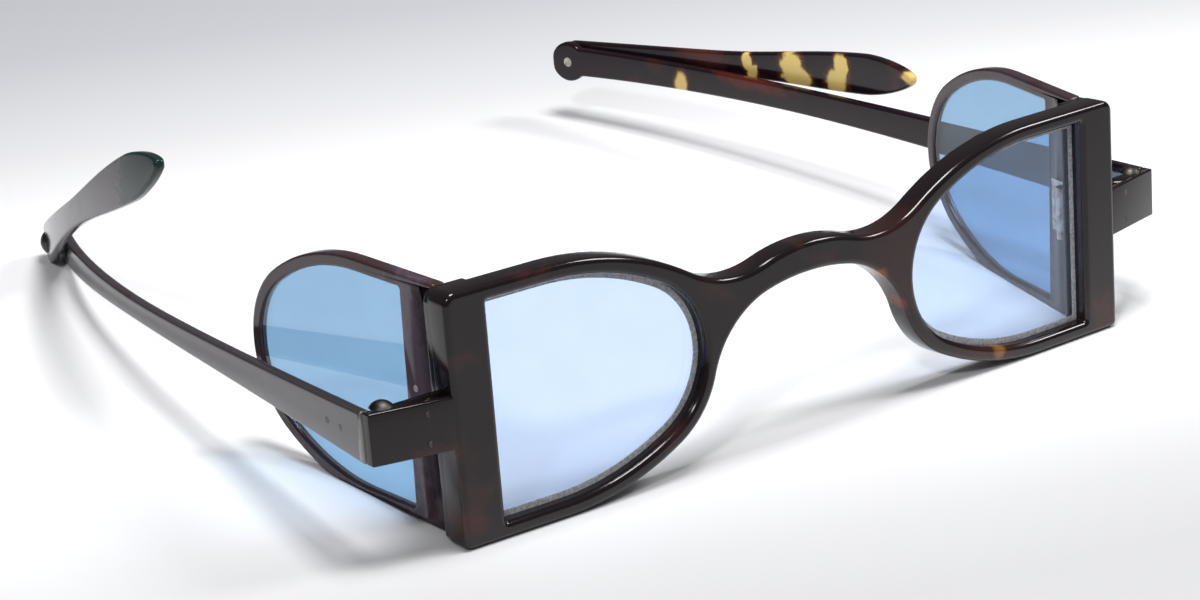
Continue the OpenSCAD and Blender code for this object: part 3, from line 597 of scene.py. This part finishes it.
def mixed(tree, share, first, second):
    """Two colours mixed by a share of the second."""
    node = add_node(tree, "ShaderNodeMix", data_type="RGBA")
    feed_all(tree, (node.inputs[0], *node.inputs[6:8]), (share, first, second))
    return node.outputs[2]


def grey_noise(tree, vector, **values):
    """The grey of a noise texture on a vector."""
    return add_node(tree, "ShaderNodeTexNoise", Vector=vector, **values).outputs["Fac"]


def ramp(tree, value, stops):
    """The colour of a ramp with stops as (position, colour)."""
    node = add_node(tree, "ShaderNodeValToRGB", Fac=value)
    elements = node.color_ramp.elements
    while len(elements) < len(stops):
        elements.new(0.5)
    for element, (position, colour) in zip(elements, stops):
        element.position = position
        element.color = (*colour, 1.0)
    return node.outputs["Color"]


def new_group(name, inputs, outputs):
    """An empty node group; the size of a default says if it is a number, vector or colour."""
    group = bpy.data.node_groups.new(name, "ShaderNodeTree")
    for in_out, sockets in (("INPUT", inputs), ("OUTPUT", outputs)):
        for label, default in sockets.items():
            kind = SOCKETS[np.size(default)]
            socket = group.interface.new_socket(label, in_out=in_out, socket_type=kind)
            socket.default_value = default
    start = add_node(group, "NodeGroupInput")
    end = add_node(group, "NodeGroupOutput")
    return group, start.outputs, end.inputs


# Shared effects


def mottle_group():
    """Cloudy shell: red-brown where one noise is high, amber where another is, else dark."""
    group, given, result = new_group(
        "shell_mottle",
        {"Vector": ORIGIN, "Scale": 110.0, "Seed": 0.0, "Red Level": 0.56, "Amber Level": 0.72,
         "Dark": BLACK, "Red": BLACK, "Amber": BLACK},
        {"Color": BLACK},
    )

    def cloud(stretch, seed_step, detail, distortion, level, width):
        """A smooth step of a noise, from its level to a given width above it."""
        scale = maths(group, "MULTIPLY", given["Scale"], stretch)
        seed = maths(group, "ADD", given["Seed"], seed_step)
        grey = grey_noise(group, given["Vector"], noise_dimensions="4D", Scale=scale, W=seed,
                          Detail=detail, Distortion=distortion)
        upper = maths(group, "ADD", given[level], width)
        return spread(group, grey, given[level], upper, kind="SMOOTHSTEP")

    red = cloud(1.0, 3.1, 4.0, 0.9, "Red Level", 0.16)
    amber = cloud(0.8, 11.7, 5.0, 1.2, "Amber Level", 0.05)
    brown = mixed(group, red, given["Dark"], given["Red"])
    feed(group, result["Color"], mixed(group, amber, brown, given["Amber"]))
    return group


def patch_group():
    """One ragged patch: 1 inside an ellipsoid whose distance is pushed in and out by a noise.
    Its rim fades out a little further away."""
    group, given, result = new_group(
        "shell_patch",
        {"Vector": ORIGIN, "Centre": ORIGIN, "Reach": (0.003, 0.003, 0.003), "Ragged": 1.5,
         "Softness": 0.12, "Rim Width": 0.45, "Seed": 0.0},
        {"Mask": 0.0, "Rim": 0.0},
    )
    away = vector_maths(group, "SUBTRACT", given["Vector"], given["Centre"])
    share = vector_maths(group, "DIVIDE", away, given["Reach"])
    far = vector_maths(group, "LENGTH", share)
    grey = grey_noise(group, given["Vector"], noise_dimensions="4D", Scale=300.0,
                      Detail=5.0, Distortion=1.4, W=given["Seed"])
    centred = maths(group, "SUBTRACT", grey, 0.5)
    pushed = maths(group, "MULTIPLY", centred, given["Ragged"])
    distance = maths(group, "ADD", far, pushed)
    outer = maths(group, "ADD", 1.0, given["Softness"])
    inner = maths(group, "SUBTRACT", 1.0, given["Softness"])
    beyond = maths(group, "ADD", outer, given["Rim Width"])
    mask = spread(group, distance, outer, inner, kind="SMOOTHSTEP")
    rim = spread(group, distance, beyond, inner, kind="SMOOTHSTEP")
    feed(group, result["Mask"], mask)
    feed(group, result["Rim"], rim)
    return group


def handling_group():
    """Wear: scratches and smears raise the roughness, and hand polishing leaves faint waves."""
    group, given, result = new_group(
        "handling_wear",
        {"Vector": ORIGIN, "Base Roughness": 0.1, "Amount": 0.12, "Smear Scale": 90.0},
        {"Roughness": 0.0, "Height": 0.0},
    )
    smear = grey_noise(group, given["Vector"], Scale=given["Smear Scale"], Detail=5.0,
                       Roughness=0.6, Distortion=0.5)
    drawn_out = add_node(group, "ShaderNodeMapping", Vector=given["Vector"],
                         Rotation=(0.2, 0.5, 0.3), Scale=(3000.0, 260.0, 2200.0))
    hair = grey_noise(group, drawn_out.outputs["Vector"], Scale=1.0, Detail=2.0)
    scratches = spread(group, hair, 0.62, 0.75)
    both = maths(group, "MULTIPLY_ADD", scratches, 0.5, smear)
    rough = maths(group, "MULTIPLY_ADD", both, given["Amount"], given["Base Roughness"])
    waves = grey_noise(group, given["Vector"], Scale=160.0, Detail=1.0)
    feed(group, result["Roughness"], rough)
    feed(group, result["Height"], maths(group, "MULTIPLY_ADD", scratches, -0.06, waves))
    return group


GROUP_MAKERS = {"shell_mottle": mottle_group, "shell_patch": patch_group,
                "handling_wear": handling_group}
GROUPS = {}


def group_node(tree, name, **values):
    """A shared effect placed in a material, with its own values."""
    if name not in GROUPS:
        GROUPS[name] = GROUP_MAKERS[name]()
    return add_node(tree, "ShaderNodeGroup", node_tree=GROUPS[name], **values).outputs


# Materials


def new_material(name):
    """A material with one Principled shader and Object coordinates."""
    material = bpy.data.materials.new(name)
    material.use_nodes = True
    tree = material.node_tree
    tree.nodes.clear()
    output = add_node(tree, "ShaderNodeOutputMaterial")
    shader = add_node(tree, "ShaderNodeBsdfPrincipled")
    tree.links.new(shader.outputs[0], output.inputs["Surface"])
    coords = add_node(tree, "ShaderNodeTexCoord")
    return material, tree, shader, coords.outputs["Object"]


def add_bump(tree, shader, height, strength, distance):
    """A shallow relief on the whole surface."""
    bump = add_node(tree, "ShaderNodeBump", Height=height, Strength=strength, Distance=distance)
    tree.links.new(bump.outputs["Normal"], shader.inputs["Normal"])


def add_wear(tree, shader, vector, base, amount, depth, smear_scale=90.0):
    """Roughness and a shallow relief from the shared wear group."""
    wear = group_node(tree, "handling_wear", Vector=vector, Base_Roughness=base,
                      Amount=amount, Smear_Scale=smear_scale)
    feed(tree, shader.inputs["Roughness"], wear["Roughness"])
    add_bump(tree, shader, wear["Height"], strength=1.0, distance=depth)


def shell_material(name, seed, red_level=0.56, patches=(), ground=None, mirror=0.36):
    """Polished tortoiseshell, with ragged patches laid over its mottle one by one.
    The brown fringes of the amber patches lie under all patches. Two patches are painted light:
    a highlight on the right arm and a reflection on the right tip."""
    look = bpy.context.scene.shell_look
    material, tree, shader, vector = new_material(name)
    mottle = group_node(tree, "shell_mottle", Vector=vector, Scale=look.mottle_scale,
                        Seed=seed, Red_Level=red_level, Amber_Level=0.78,
                        Dark=(*(ground or look.dark), 1.0), Red=(*look.red, 1.0),
                        Amber=(*look.amber, 1.0))
    colour = mottle["Color"]
    masks = [group_node(tree, "shell_patch", Vector=vector,
                        Centre=[c * MM for c in centre], Reach=[r * MM for r in reach],
                        Softness=softness, Seed=seed + number)
             for number, (centre, reach, tint, strength, softness) in enumerate(patches)]
    for mask, patch in zip(masks, patches):
        if patch[2] == AMBER:
            colour = mixed(tree, mask["Rim"], colour, (*FRINGE, 1.0))
    for mask, patch in zip(masks, patches):
        tint, strength = patch[2:4]
        tint = look.amber if tint == AMBER else tint
        share = maths(tree, "MULTIPLY", mask["Mask"], strength)
        colour = mixed(tree, share, colour, (*tint, 1.0))
    feed(tree, shader.inputs["Base Color"], colour)
    shader.inputs["IOR"].default_value = look.ior
    shader.inputs["Specular IOR Level"].default_value = mirror
    add_wear(tree, shader, vector, look.roughness, amount=0.07, depth=0.00003)
    return material


def glass_material(name, tint, shadow_tint):
    """Tinted flat glass that lets the lamps through, with faint smears."""
    material, tree, shader, vector = new_material(name)
    shader.inputs["Transmission Weight"].default_value = 1.0
    shader.inputs["IOR"].default_value = 1.5
    cloud = grey_noise(tree, vector, Scale=160.0, Detail=4.0)
    dimmer = tuple(c * 0.97 for c in tint)
    tone = ramp(tree, cloud, [(0.35, dimmer), (0.65, tint)])
    feed(tree, shader.inputs["Base Color"], tone)
    feed(tree, shader.inputs["Roughness"], spread(tree, cloud, 0.5, 0.8, 0.0, 0.05))
    path = add_node(tree, "ShaderNodeLightPath")
    clear = add_node(tree, "ShaderNodeBsdfTransparent", Color=(*shadow_tint, 1.0))
    mix = add_node(tree, "ShaderNodeMixShader", Fac=path.outputs["Is Shadow Ray"])
    tree.links.new(shader.outputs[0], mix.inputs[1])
    tree.links.new(clear.outputs[0], mix.inputs[2])
    output = next(node for node in tree.nodes if node.type == "OUTPUT_MATERIAL")
    tree.links.new(mix.outputs[0], output.inputs["Surface"])
    return material


def ground_material():
    """The ground, frosted edge of a lens: pale and grainy."""
    material, tree, shader, vector = new_material("ground_glass")
    grain = grey_noise(tree, vector, Scale=2600.0, Detail=3.0)
    tone = ramp(tree, grain, [(0.3, (0.24, 0.25, 0.27)), (0.7, (0.56, 0.58, 0.62))])
    feed(tree, shader.inputs["Base Color"], tone)
    add_bump(tree, shader, grain, strength=0.6, distance=0.00002)
    shader.inputs["Roughness"].default_value = 0.55
    return material


def metal_material(name, bright):
    """Old steel: grey with brown tarnish in clouds, and scratches."""
    look = bpy.context.scene.metal_look
    material, tree, shader, vector = new_material(name)
    cloud = grey_noise(tree, vector, Scale=700.0, Detail=5.0, Distortion=0.4)
    tarnish, steel = (tuple(c * bright for c in colour) for colour in (look.tarnish, look.steel))
    tone = ramp(tree, cloud, [(0.36, tarnish), (0.56, steel)])
    feed(tree, shader.inputs["Base Color"], tone)
    shader.inputs["Metallic"].default_value = 1.0
    add_wear(tree, shader, vector, look.roughness, amount=0.2, depth=0.00001,
             smear_scale=500.0)
    return material


# Settings

TINT = {"subtype": "COLOR", "size": 3, "min": 0, "max": 1}


class ShellLook(bpy.types.PropertyGroup):
    """Finish of the tortoiseshell."""
    dark: FloatVectorProperty(name="Ground", description="Colour of the dark ground of the shell",
                              default=(0.010, 0.006, 0.007), **TINT)
    red: FloatVectorProperty(name="Red clouds", description="Colour of the red-brown clouds",
                             default=(0.042, 0.013, 0.012), **TINT)
    amber: FloatVectorProperty(name="Amber", description="Colour of the golden patches",
                               default=(0.86, 0.64, 0.20), **TINT)
    mottle_scale: FloatProperty(name="Mottle scale", description="Clouds per metre",
                                min=20, max=400, default=95)
    roughness: FloatProperty(name="Polish", description="Roughness of the polished shell",
                             min=0.0, max=0.6, default=0.1)
    ior: FloatProperty(name="Index", description="Refractive index of the shell",
                       min=1.3, max=1.7, default=1.58)
    edge_round: FloatProperty(name="Edge rounding", description="Width of the rounded rim edges",
                              unit="LENGTH", min=0.0, max=0.001, default=0.0007)
    segments: IntProperty(name="Rounding steps", description="Steps across each rounded edge",
                          min=1, max=6, default=4)


class GlassLook(bpy.types.PropertyGroup):
    """Tint of the lenses."""
    front_tint: FloatVectorProperty(name="Front lenses", description="Tint of the front lenses",
                                    default=(0.58, 0.71, 0.93), **TINT)
    side_tint: FloatVectorProperty(name="Side lenses", description="Tint of the side lenses",
                                   default=(0.22, 0.40, 0.60), **TINT)
    ground_width: FloatProperty(name="Ground edge", unit="LENGTH",
                                description="Width of the ground band on each front lens",
                                min=0.0, max=0.002, default=0.0008)


class MetalLook(bpy.types.PropertyGroup):
    """Finish of the hinges, pins and rivets."""
    steel: FloatVectorProperty(name="Steel", description="Colour of the bare metal",
                               default=(0.56, 0.54, 0.51), **TINT)
    tarnish: FloatVectorProperty(name="Tarnish", description="Colour of the tarnish",
                                 default=(0.26, 0.23, 0.20), **TINT)
    roughness: FloatProperty(name="Metal roughness", description="Roughness of the clean metal",
                             min=0.0, max=0.8, default=0.34)


class StageLook(bpy.types.PropertyGroup):
    """Camera, floor and light."""
    eye: FloatVectorProperty(name="Camera place", description="Where the camera stands",
                             subtype="TRANSLATION", size=3, default=(-0.25955, -0.35296, 0.17202))
    azimuth: FloatProperty(name="Azimuth", description="Turn of the view from +Y towards +X",
                           subtype="ANGLE", default=math.radians(37.615))
    elevation: FloatProperty(name="Elevation", description="Angle by which the camera looks down",
                             subtype="ANGLE", default=math.radians(24.268))
    roll: FloatProperty(name="Roll", description="Turn of the picture about the view",
                        subtype="ANGLE", default=math.radians(1.197))
    focal_length: FloatProperty(name="Focal length", description="Lens, on a 36 mm wide sensor",
                                min=10, max=300, default=99.23)
    shift: FloatProperty(name="Shift", min=-0.5, max=0.5, default=0.1335,
                         description="Upward shift of the picture, a share of its width")
    floor_size: FloatProperty(name="Floor size", description="Width of the floor",
                              unit="LENGTH", min=0.5, max=10, default=6.0)


# Operators


def shell_pair(kind, build, look):
    """Builds a piece on each side in the shell of its body, and hands them over one by one."""
    for word in SIDES:
        body = f"{word}_{kind}"
        piece = mesh_piece(f"{body}_shell", *build(word, look))
        link_piece(piece, body, shell_material(f"{body}_tortoiseshell", **SHELLS[body]))
        yield word, piece


class SPECS_OT_front(bpy.types.Operator):
    """Builds and finishes the front: its plate with two eyes, the backs of the bars and the lugs"""
    bl_idname = "specs.front"
    bl_label = "Front frame"

    def execute(self, context):
        look = context.scene.shell_look
        shells = [self.face(look)]
        for word in SIDES:
            space = half_space(word)
            bar, faces = plate([rounded(wound(bar_outline()), BAR_CORNER)], BAR_BACK_FROM,
                               BAR_T - FLUSH, BAR_SIDE_ROUND, BAR_BACK_ROUND, look.segments)
            shells.append((placed(bar[:, [0, 2, 1]], space), faces))
            lug, faces = plate([rounded(lug_outline(), LUG_CORNER)], LUG_MID_Z - LUG_H / 2,
                               LUG_MID_Z + LUG_H / 2, LUG_ROUND, LUG_ROUND, look.segments)
            shells.append((placed(lug, space), faces))
        piece = mesh_piece("front_shell", *joined(*shells))
        material = shell_material("front_tortoiseshell", **SHELLS["front"])
        link_piece(piece, "front", material)
        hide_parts("front_frame")
        return {"FINISHED"}

    def face(self, look):
        """The plate of both halves, each half carried to its own place, parted at x = 0."""
        half = front_half_outline()
        outline = rounded(np.vstack([half, (half * [-1, 1])[::-1][1:-1]]), FRONT_CORNER)
        eye = rounded(eye_outline(), EYE_CORNER)
        flat, faces = plate([outline, eye, eye * [-1, 1]], FLUSH, RIM_T, look.edge_round / MM,
                            BACK_ROUND, look.segments, True)
        across = np.where(np.abs(flat[:, 0]) < ON_MIDDLE, 0.0, flat[:, 0])
        out = np.column_stack([np.abs(across), flat[:, 2], flat[:, 1]])
        points = np.where((across >= 0)[:, None], placed(out, half_space("left")),
                          placed(out, half_space("right")))
        points[across == 0, 0] = 0.0
        return points, faces


class SPECS_OT_flaps(bpy.types.Operator):
    """Builds and finishes the two side flap frames"""
    bl_idname = "specs.flaps"
    bl_label = "Side flaps"

    def execute(self, context):
        for word, piece in shell_pair("flap", self.build, context.scene.shell_look):
            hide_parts(f"{word}_flap_frame")
        return {"FINISHED"}

    def build(self, word, look):
        """A D with its hole, tilted by a degree or two, whose hinge edge slants with the splay."""
        start = FLAP_BAR_W - KNUCKLE_ROOM
        size = (FLAP_EYE_W, FLAP_EYE_H, EYE_STRAIGHT, EYE_NOSE_R)
        outer, hole = d_shape(*size, FLAP_RIM_W), d_shape(*size, 0.0)
        outer[[0, -1], 0] = FLAP_HINGE_EDGE - start
        tilt = np.array(Matrix.Rotation(math.radians(FLAP_TILT), 2))
        loops = [rounded(loop, FLAP_CORNER) @ tilt.T + [start, FLAP_MID_Z]
                 for loop in (outer, hole)]
        edge = look.edge_round / MM * FLAP_ROUND_SHARE
        flat, faces = plate(loops, KNUCKLE_ROOM + FLUSH, KNUCKLE_ROOM + FLAP_T - FLUSH, edge, edge,
                            look.segments)
        slant = flat[:, 2] * math.tan(math.radians(FLAP_SPLAY[word])) + FLAP_SLANT_GAP
        share = (FLAP_SLANT_END - flat[:, 0]) / (FLAP_SLANT_END - FLAP_HINGE_EDGE)
        along = flat[:, 0] + np.clip(share, 0, 1) * slant
        local = np.column_stack([flat[:, 2], along, flat[:, 1]])
        return placed(local, flap_space(word)), faces


class SPECS_OT_arms(bpy.types.Operator):
    """Builds and finishes the two arms"""
    bl_idname = "specs.arms"
    bl_label = "Arms"

    def execute(self, context):
        for word, piece in shell_pair("arm", self.build, context.scene.shell_look):
            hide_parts(f"{word}_arm")
        return {"FINISHED"}

    def places(self):
        """Distances along an arm, close together where it starts and where it ends in its disc."""
        last = ARM_L + ARM_END_R
        end = last - (1 - np.cos(np.radians(np.linspace(90, 3, 40)))) * ARM_CROWD
        s = np.concatenate([[0.0, 0.05, 0.12, 0.22, 0.35], np.linspace(0.6, ARM_L - 4, 110), end])
        return np.unique(np.clip(s, 0, last - 0.004))

    def build(self, word, look):
        """A strip waisted in the middle whose end swells into a disc.
        The height follows powers of the distance from the waist, the disc a circle."""
        s = self.places()
        k = np.minimum(1, s / ARM_L)
        waist = ARM_WAIST_H[word]
        before = (1 - np.minimum(k, ARM_WAIST_PLACE) / ARM_WAIST_PLACE) ** ARM_FRONT_POWER
        beyond = (np.maximum(k - ARM_WAIST_PLACE, 0) / (1 - ARM_WAIST_PLACE)) ** ARM_END_POWER
        height = np.where(k < ARM_WAIST_PLACE, waist + (LUG_H - waist) * before,
                          waist + (ARM_END_R * ARM_END_SWELL - waist) * beyond)
        disc = np.sqrt(np.maximum(0, ARM_END_R ** 2 - (s - ARM_L) ** 2))
        half = np.where(s > ARM_L, disc, np.maximum(height / 2, disc))
        r = ARM_START_ROUND
        inset = r - np.sqrt(np.maximum(0, r ** 2 - (r - np.minimum(s, r)) ** 2))
        half = np.maximum(half - inset, LEAST_HALF_H)
        rise = ARM_RISE[word] * np.minimum(1, s / (ARM_L - ARM_END_R))
        thickness = end_thickness(ARM_L + ARM_END_R - s, ARM_T - 2 * FLUSH, STRIP_END_ROUND)
        at, turn = arm_line(s)
        rings = strip(at, turn, rise + ARM_CROWN * np.sin(np.pi * k), half, thickness - 2 * inset,
                      look.edge_round / MM * STRIP_ROUND_SHARE)
        angle = math.radians(ARM_ANGLE[word])
        slant = (STOP_GAP - rings[..., 0] * math.sin(angle)) / math.cos(angle)
        rings[..., 1] += slant * np.clip(1 - rings[..., 1] / STOP_REACH, 0, 1)
        points, faces = ring_faces(rings)
        return placed(points, arm_space(word)), faces


class SPECS_OT_tips(bpy.types.Operator):
    """Builds and finishes the two tips"""
    bl_idname = "specs.tips"
    bl_label = "Tips"

    def execute(self, context):
        for word, piece in shell_pair("tip", self.build, context.scene.shell_look):
            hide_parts(f"{word}_tip")
        return {"FINISHED"}

    def places(self):
        """Distances along a tip, close together at its round root and at its point."""
        root = -TIP_END_R * np.cos(np.radians(np.linspace(3, 90, 14)))
        end = TIP_L - TIP_CROWD * (1 - np.sin(np.radians(np.linspace(1, 89, 44))))
        s = np.concatenate([root, np.linspace(0.4, 58, 80), end])
        return np.unique(np.clip(s, -TIP_END_R + 0.004, TIP_L - TIP_END_TRIM))

    def build(self, word, look):
        """A strip with a round root, a waist and a leaf that closes in a blunt point.
        The leaf grows as half a cosine and closes as the root of one minus a power."""
        s = self.places()
        k = np.maximum(0, s / TIP_L)
        waist = TIP_WAIST_H / 2
        narrowing = np.maximum(0, 1 - k / TIP_WAIST_PLACE) ** TIP_ROOT_POWER
        root = waist + (TIP_END_R - waist) * narrowing
        growth = np.clip((k - TIP_WAIST_PLACE) / (TIP_LEAF_PLACE - TIP_WAIST_PLACE), 0, 1)
        leaf = waist + (TIP_LEAF_H - TIP_WAIST_H) / 4 * (1 - np.cos(np.pi * growth))
        closing = np.clip((k - TIP_LEAF_PLACE) / (1 - TIP_LEAF_PLACE), 0, 1) ** TIP_BLUNTNESS
        end = TIP_LEAF_H / 2 * np.sqrt(1 - closing)
        half = np.where(k < TIP_WAIST_PLACE, root, np.where(k < TIP_LEAF_PLACE, leaf, end))
        half = np.where(s < 0, np.sqrt(np.maximum(0, TIP_END_R ** 2 - s ** 2)), half)
        half = np.maximum(half * (LEAF_TRIM - LEAF_END_TRIM * closing), LEAST_HALF_H)
        thickness = end_thickness(np.minimum(s + TIP_END_R, TIP_L - s), TIP_T - 2 * FLUSH,
                                  STRIP_END_ROUND)
        at, turn = tip_line(s)
        rings = strip(at, turn, np.zeros_like(s), half, thickness,
                      look.edge_round / MM * STRIP_ROUND_SHARE)
        points, faces = ring_faces(rings)
        return placed(points, tip_space(word)), faces


class SPECS_OT_lenses(bpy.types.Operator):
    """Gives the lenses their blue glass and the front ones their ground edges"""
    bl_idname = "specs.lenses"
    bl_label = "Lenses"

    def execute(self, context):
        look = context.scene.glass_look
        front = glass_material("front_blue_glass", tuple(look.front_tint), FRONT_SHADOW_TINT)
        side = glass_material("side_blue_glass", tuple(look.side_tint), SIDE_SHADOW_TINT)
        ground = ground_material()
        for word in SIDES:
            give_finish(frame["nodes"][f"{word}_front_lens"], front)
            give_finish(frame["nodes"][f"{word}_flap_lens"], side)
            self.ground_band(word, look, ground)
        return {"FINISHED"}

    def ground_band(self, word, look, material):
        """A thin ring where the front lens is ground away to enter its groove."""
        loops = [rounded(eye_outline(grow), BAND_CORNER)
                 for grow in (BAND_REACH, -look.ground_width / MM)]
        flat, faces = plate(loops, LENS_SET_BACK - BAND_HALF_T, LENS_SET_BACK + BAND_HALF_T,
                            BAND_ROUND, BAND_ROUND, 2)
        points = placed(flat[:, [0, 2, 1]], half_space(word))
        piece = mesh_piece(f"{word}_ground_band", points, faces)
        link_piece(piece, "front", material, False)


class SPECS_OT_metal(bpy.types.Operator):
    """Gives the hinges, pins and rivets their worn steel"""
    bl_idname = "specs.metal"
    bl_label = "Metal"

    def execute(self, context):
        steel = metal_material("worn_steel", 1.0)
        dark = metal_material("dark_rivet_steel", RIVET_BRIGHTNESS)
        blackened = metal_material("blackened_pin_steel", PIN_BRIGHTNESS)
        for name, node in frame["nodes"].items():
            if "lug_rivets" in name or "arm_rivets" in name:
                give_finish(node, dark)
            elif "hinge_pin" in name or name == "right_turn_pin":
                give_finish(node, blackened)
            elif any(part in name for part in ("leaf", "pin", "rivets", "washer")):
                give_finish(node, steel)
        return {"FINISHED"}


class SPECS_OT_stage(bpy.types.Operator):
    """Makes the floor, the lamps, the world and the camera"""
    bl_idname = "specs.stage"
    bl_label = "Stage"

    def execute(self, context):
        scene = context.scene
        look = scene.stage_look
        self.make_floor(scene, look)
        self.make_lamps(scene)
        self.make_world(scene)
        self.make_camera(scene, look)
        scene.view_settings.view_transform = "Standard"
        return {"FINISHED"}

    def make_floor(self, scene, look):
        """A flat square grid, painted in soft bands that run across the view: painted light, bright
        where the lamps' light pools and darker towards the foreground and the far side.
        """
        half = look.floor_size / 2
        x, y = np.meshgrid(*[np.linspace(-half, half, FLOOR_SIDE)] * 2)
        points = np.stack([x, y, np.zeros_like(x)], -1).reshape(-1, 3)
        mesh = bpy.data.meshes.new("floor")
        mesh.from_pydata(points.tolist(), [], grid_quads(*x.shape, wrapped=False))
        floor = bpy.data.objects.new("floor", mesh)
        scene.collection.objects.link(floor)
        material, tree, shader, vector = new_material("floor_painted_light")
        along = vector_maths(tree, "DOT_PRODUCT", vector, FLOOR_DIRECTION)
        share = spread(tree, along, FLOOR_FROM, FLOOR_TO)
        # the ramp paints the lamps' pool of light and its falloff onto the floor
        feed(tree, shader.inputs["Base Color"], ramp(tree, share, FLOOR_PAINTED_LIGHT))
        shader.inputs["Roughness"].default_value = 0.45
        shader.inputs["Specular IOR Level"].default_value = 0.3
        give_finish(floor, material)

    def make_lamps(self, scene):
        """Three soft square lamps: one above the front, one at the right and one at the left."""
        for name, place, width, power, target in LAMPS:
            light = bpy.data.lights.new(name, "AREA")
            light.shape = "SQUARE"
            light.size = width
            light.energy = power
            lamp = bpy.data.objects.new(name, light)
            lamp.location = place
            ray = Vector(target) - Vector(place)
            lamp.rotation_euler = ray.to_track_quat("-Z", "Y").to_euler()
            scene.collection.objects.link(lamp)

    def make_world(self, scene):
        """A pale surround that lights the scene evenly and looks dimmer in reflections."""
        world = bpy.data.worlds.new("pale_studio")
        world.use_nodes = True
        tree = world.node_tree
        background = tree.nodes["Background"]
        background.inputs["Color"].default_value = (0.93, 0.95, 1.0, 1.0)
        path = add_node(tree, "ShaderNodeLightPath")
        level = spread(tree, path.outputs["Is Glossy Ray"], 0.0, 1.0,
                       SURROUND, MIRRORED_SURROUND)
        feed(tree, background.inputs["Strength"], level)
        scene.world = world

    def make_camera(self, scene, look):
        """The camera at its place, turned by azimuth about Z, by elevation from level, by roll."""
        camera = bpy.data.cameras.new("camera")
        camera.sensor_width = 36.0
        camera.lens = look.focal_length
        camera.shift_y = look.shift
        camera.clip_start = 0.01
        aim = Matrix.Rotation(-look.azimuth, 4, "Z")
        aim @= Matrix.Rotation(math.pi / 2 - look.elevation, 4, "X")
        aim @= Matrix.Rotation(-look.roll, 4, "Z")
        holder = bpy.data.objects.new("camera", camera)
        holder.matrix_world = Matrix.Translation(look.eye) @ aim
        scene.collection.objects.link(holder)
        scene.camera = holder


OPERATORS = (SPECS_OT_front, SPECS_OT_flaps, SPECS_OT_arms, SPECS_OT_tips, SPECS_OT_lenses,
             SPECS_OT_metal, SPECS_OT_stage)
LOOKS = {"shell_look": ShellLook, "glass_look": GlassLook, "metal_look": MetalLook,
         "stage_look": StageLook}


class SPECS_PT_panel(bpy.types.Panel):
    """The spectacles' settings and steps"""
    bl_label = "Spectacles"
    bl_idname = "SPECS_PT_panel"
    bl_space_type = "VIEW_3D"
    bl_region_type = "UI"
    bl_category = "Spectacles"

    def draw(self, context):
        for look in LOOKS:
            box = self.layout.box()
            settings = getattr(context.scene, look)
            for name in settings.__annotations__:
                box.prop(settings, name)
        for operator in OPERATORS:
            self.layout.operator(operator.bl_idname)


CLASSES = (*LOOKS.values(), *OPERATORS, SPECS_PT_panel)


def register():
    """Registers the classes and gives the scene its settings."""
    for kind in CLASSES:
        bpy.utils.register_class(kind)
    for name, kind in LOOKS.items():
        setattr(bpy.types.Scene, name, PointerProperty(type=kind))


def unregister():
    """Takes the settings off the scene and the classes out of Blender."""
    for name in LOOKS:
        delattr(bpy.types.Scene, name)
    for kind in reversed(CLASSES):
        bpy.utils.unregister_class(kind)


def main():
    """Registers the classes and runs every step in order."""
    register()
    for operator in OPERATORS:
        getattr(bpy.ops.specs, operator.bl_idname.split(".")[1])()


if __name__ == "__main__":
    main()
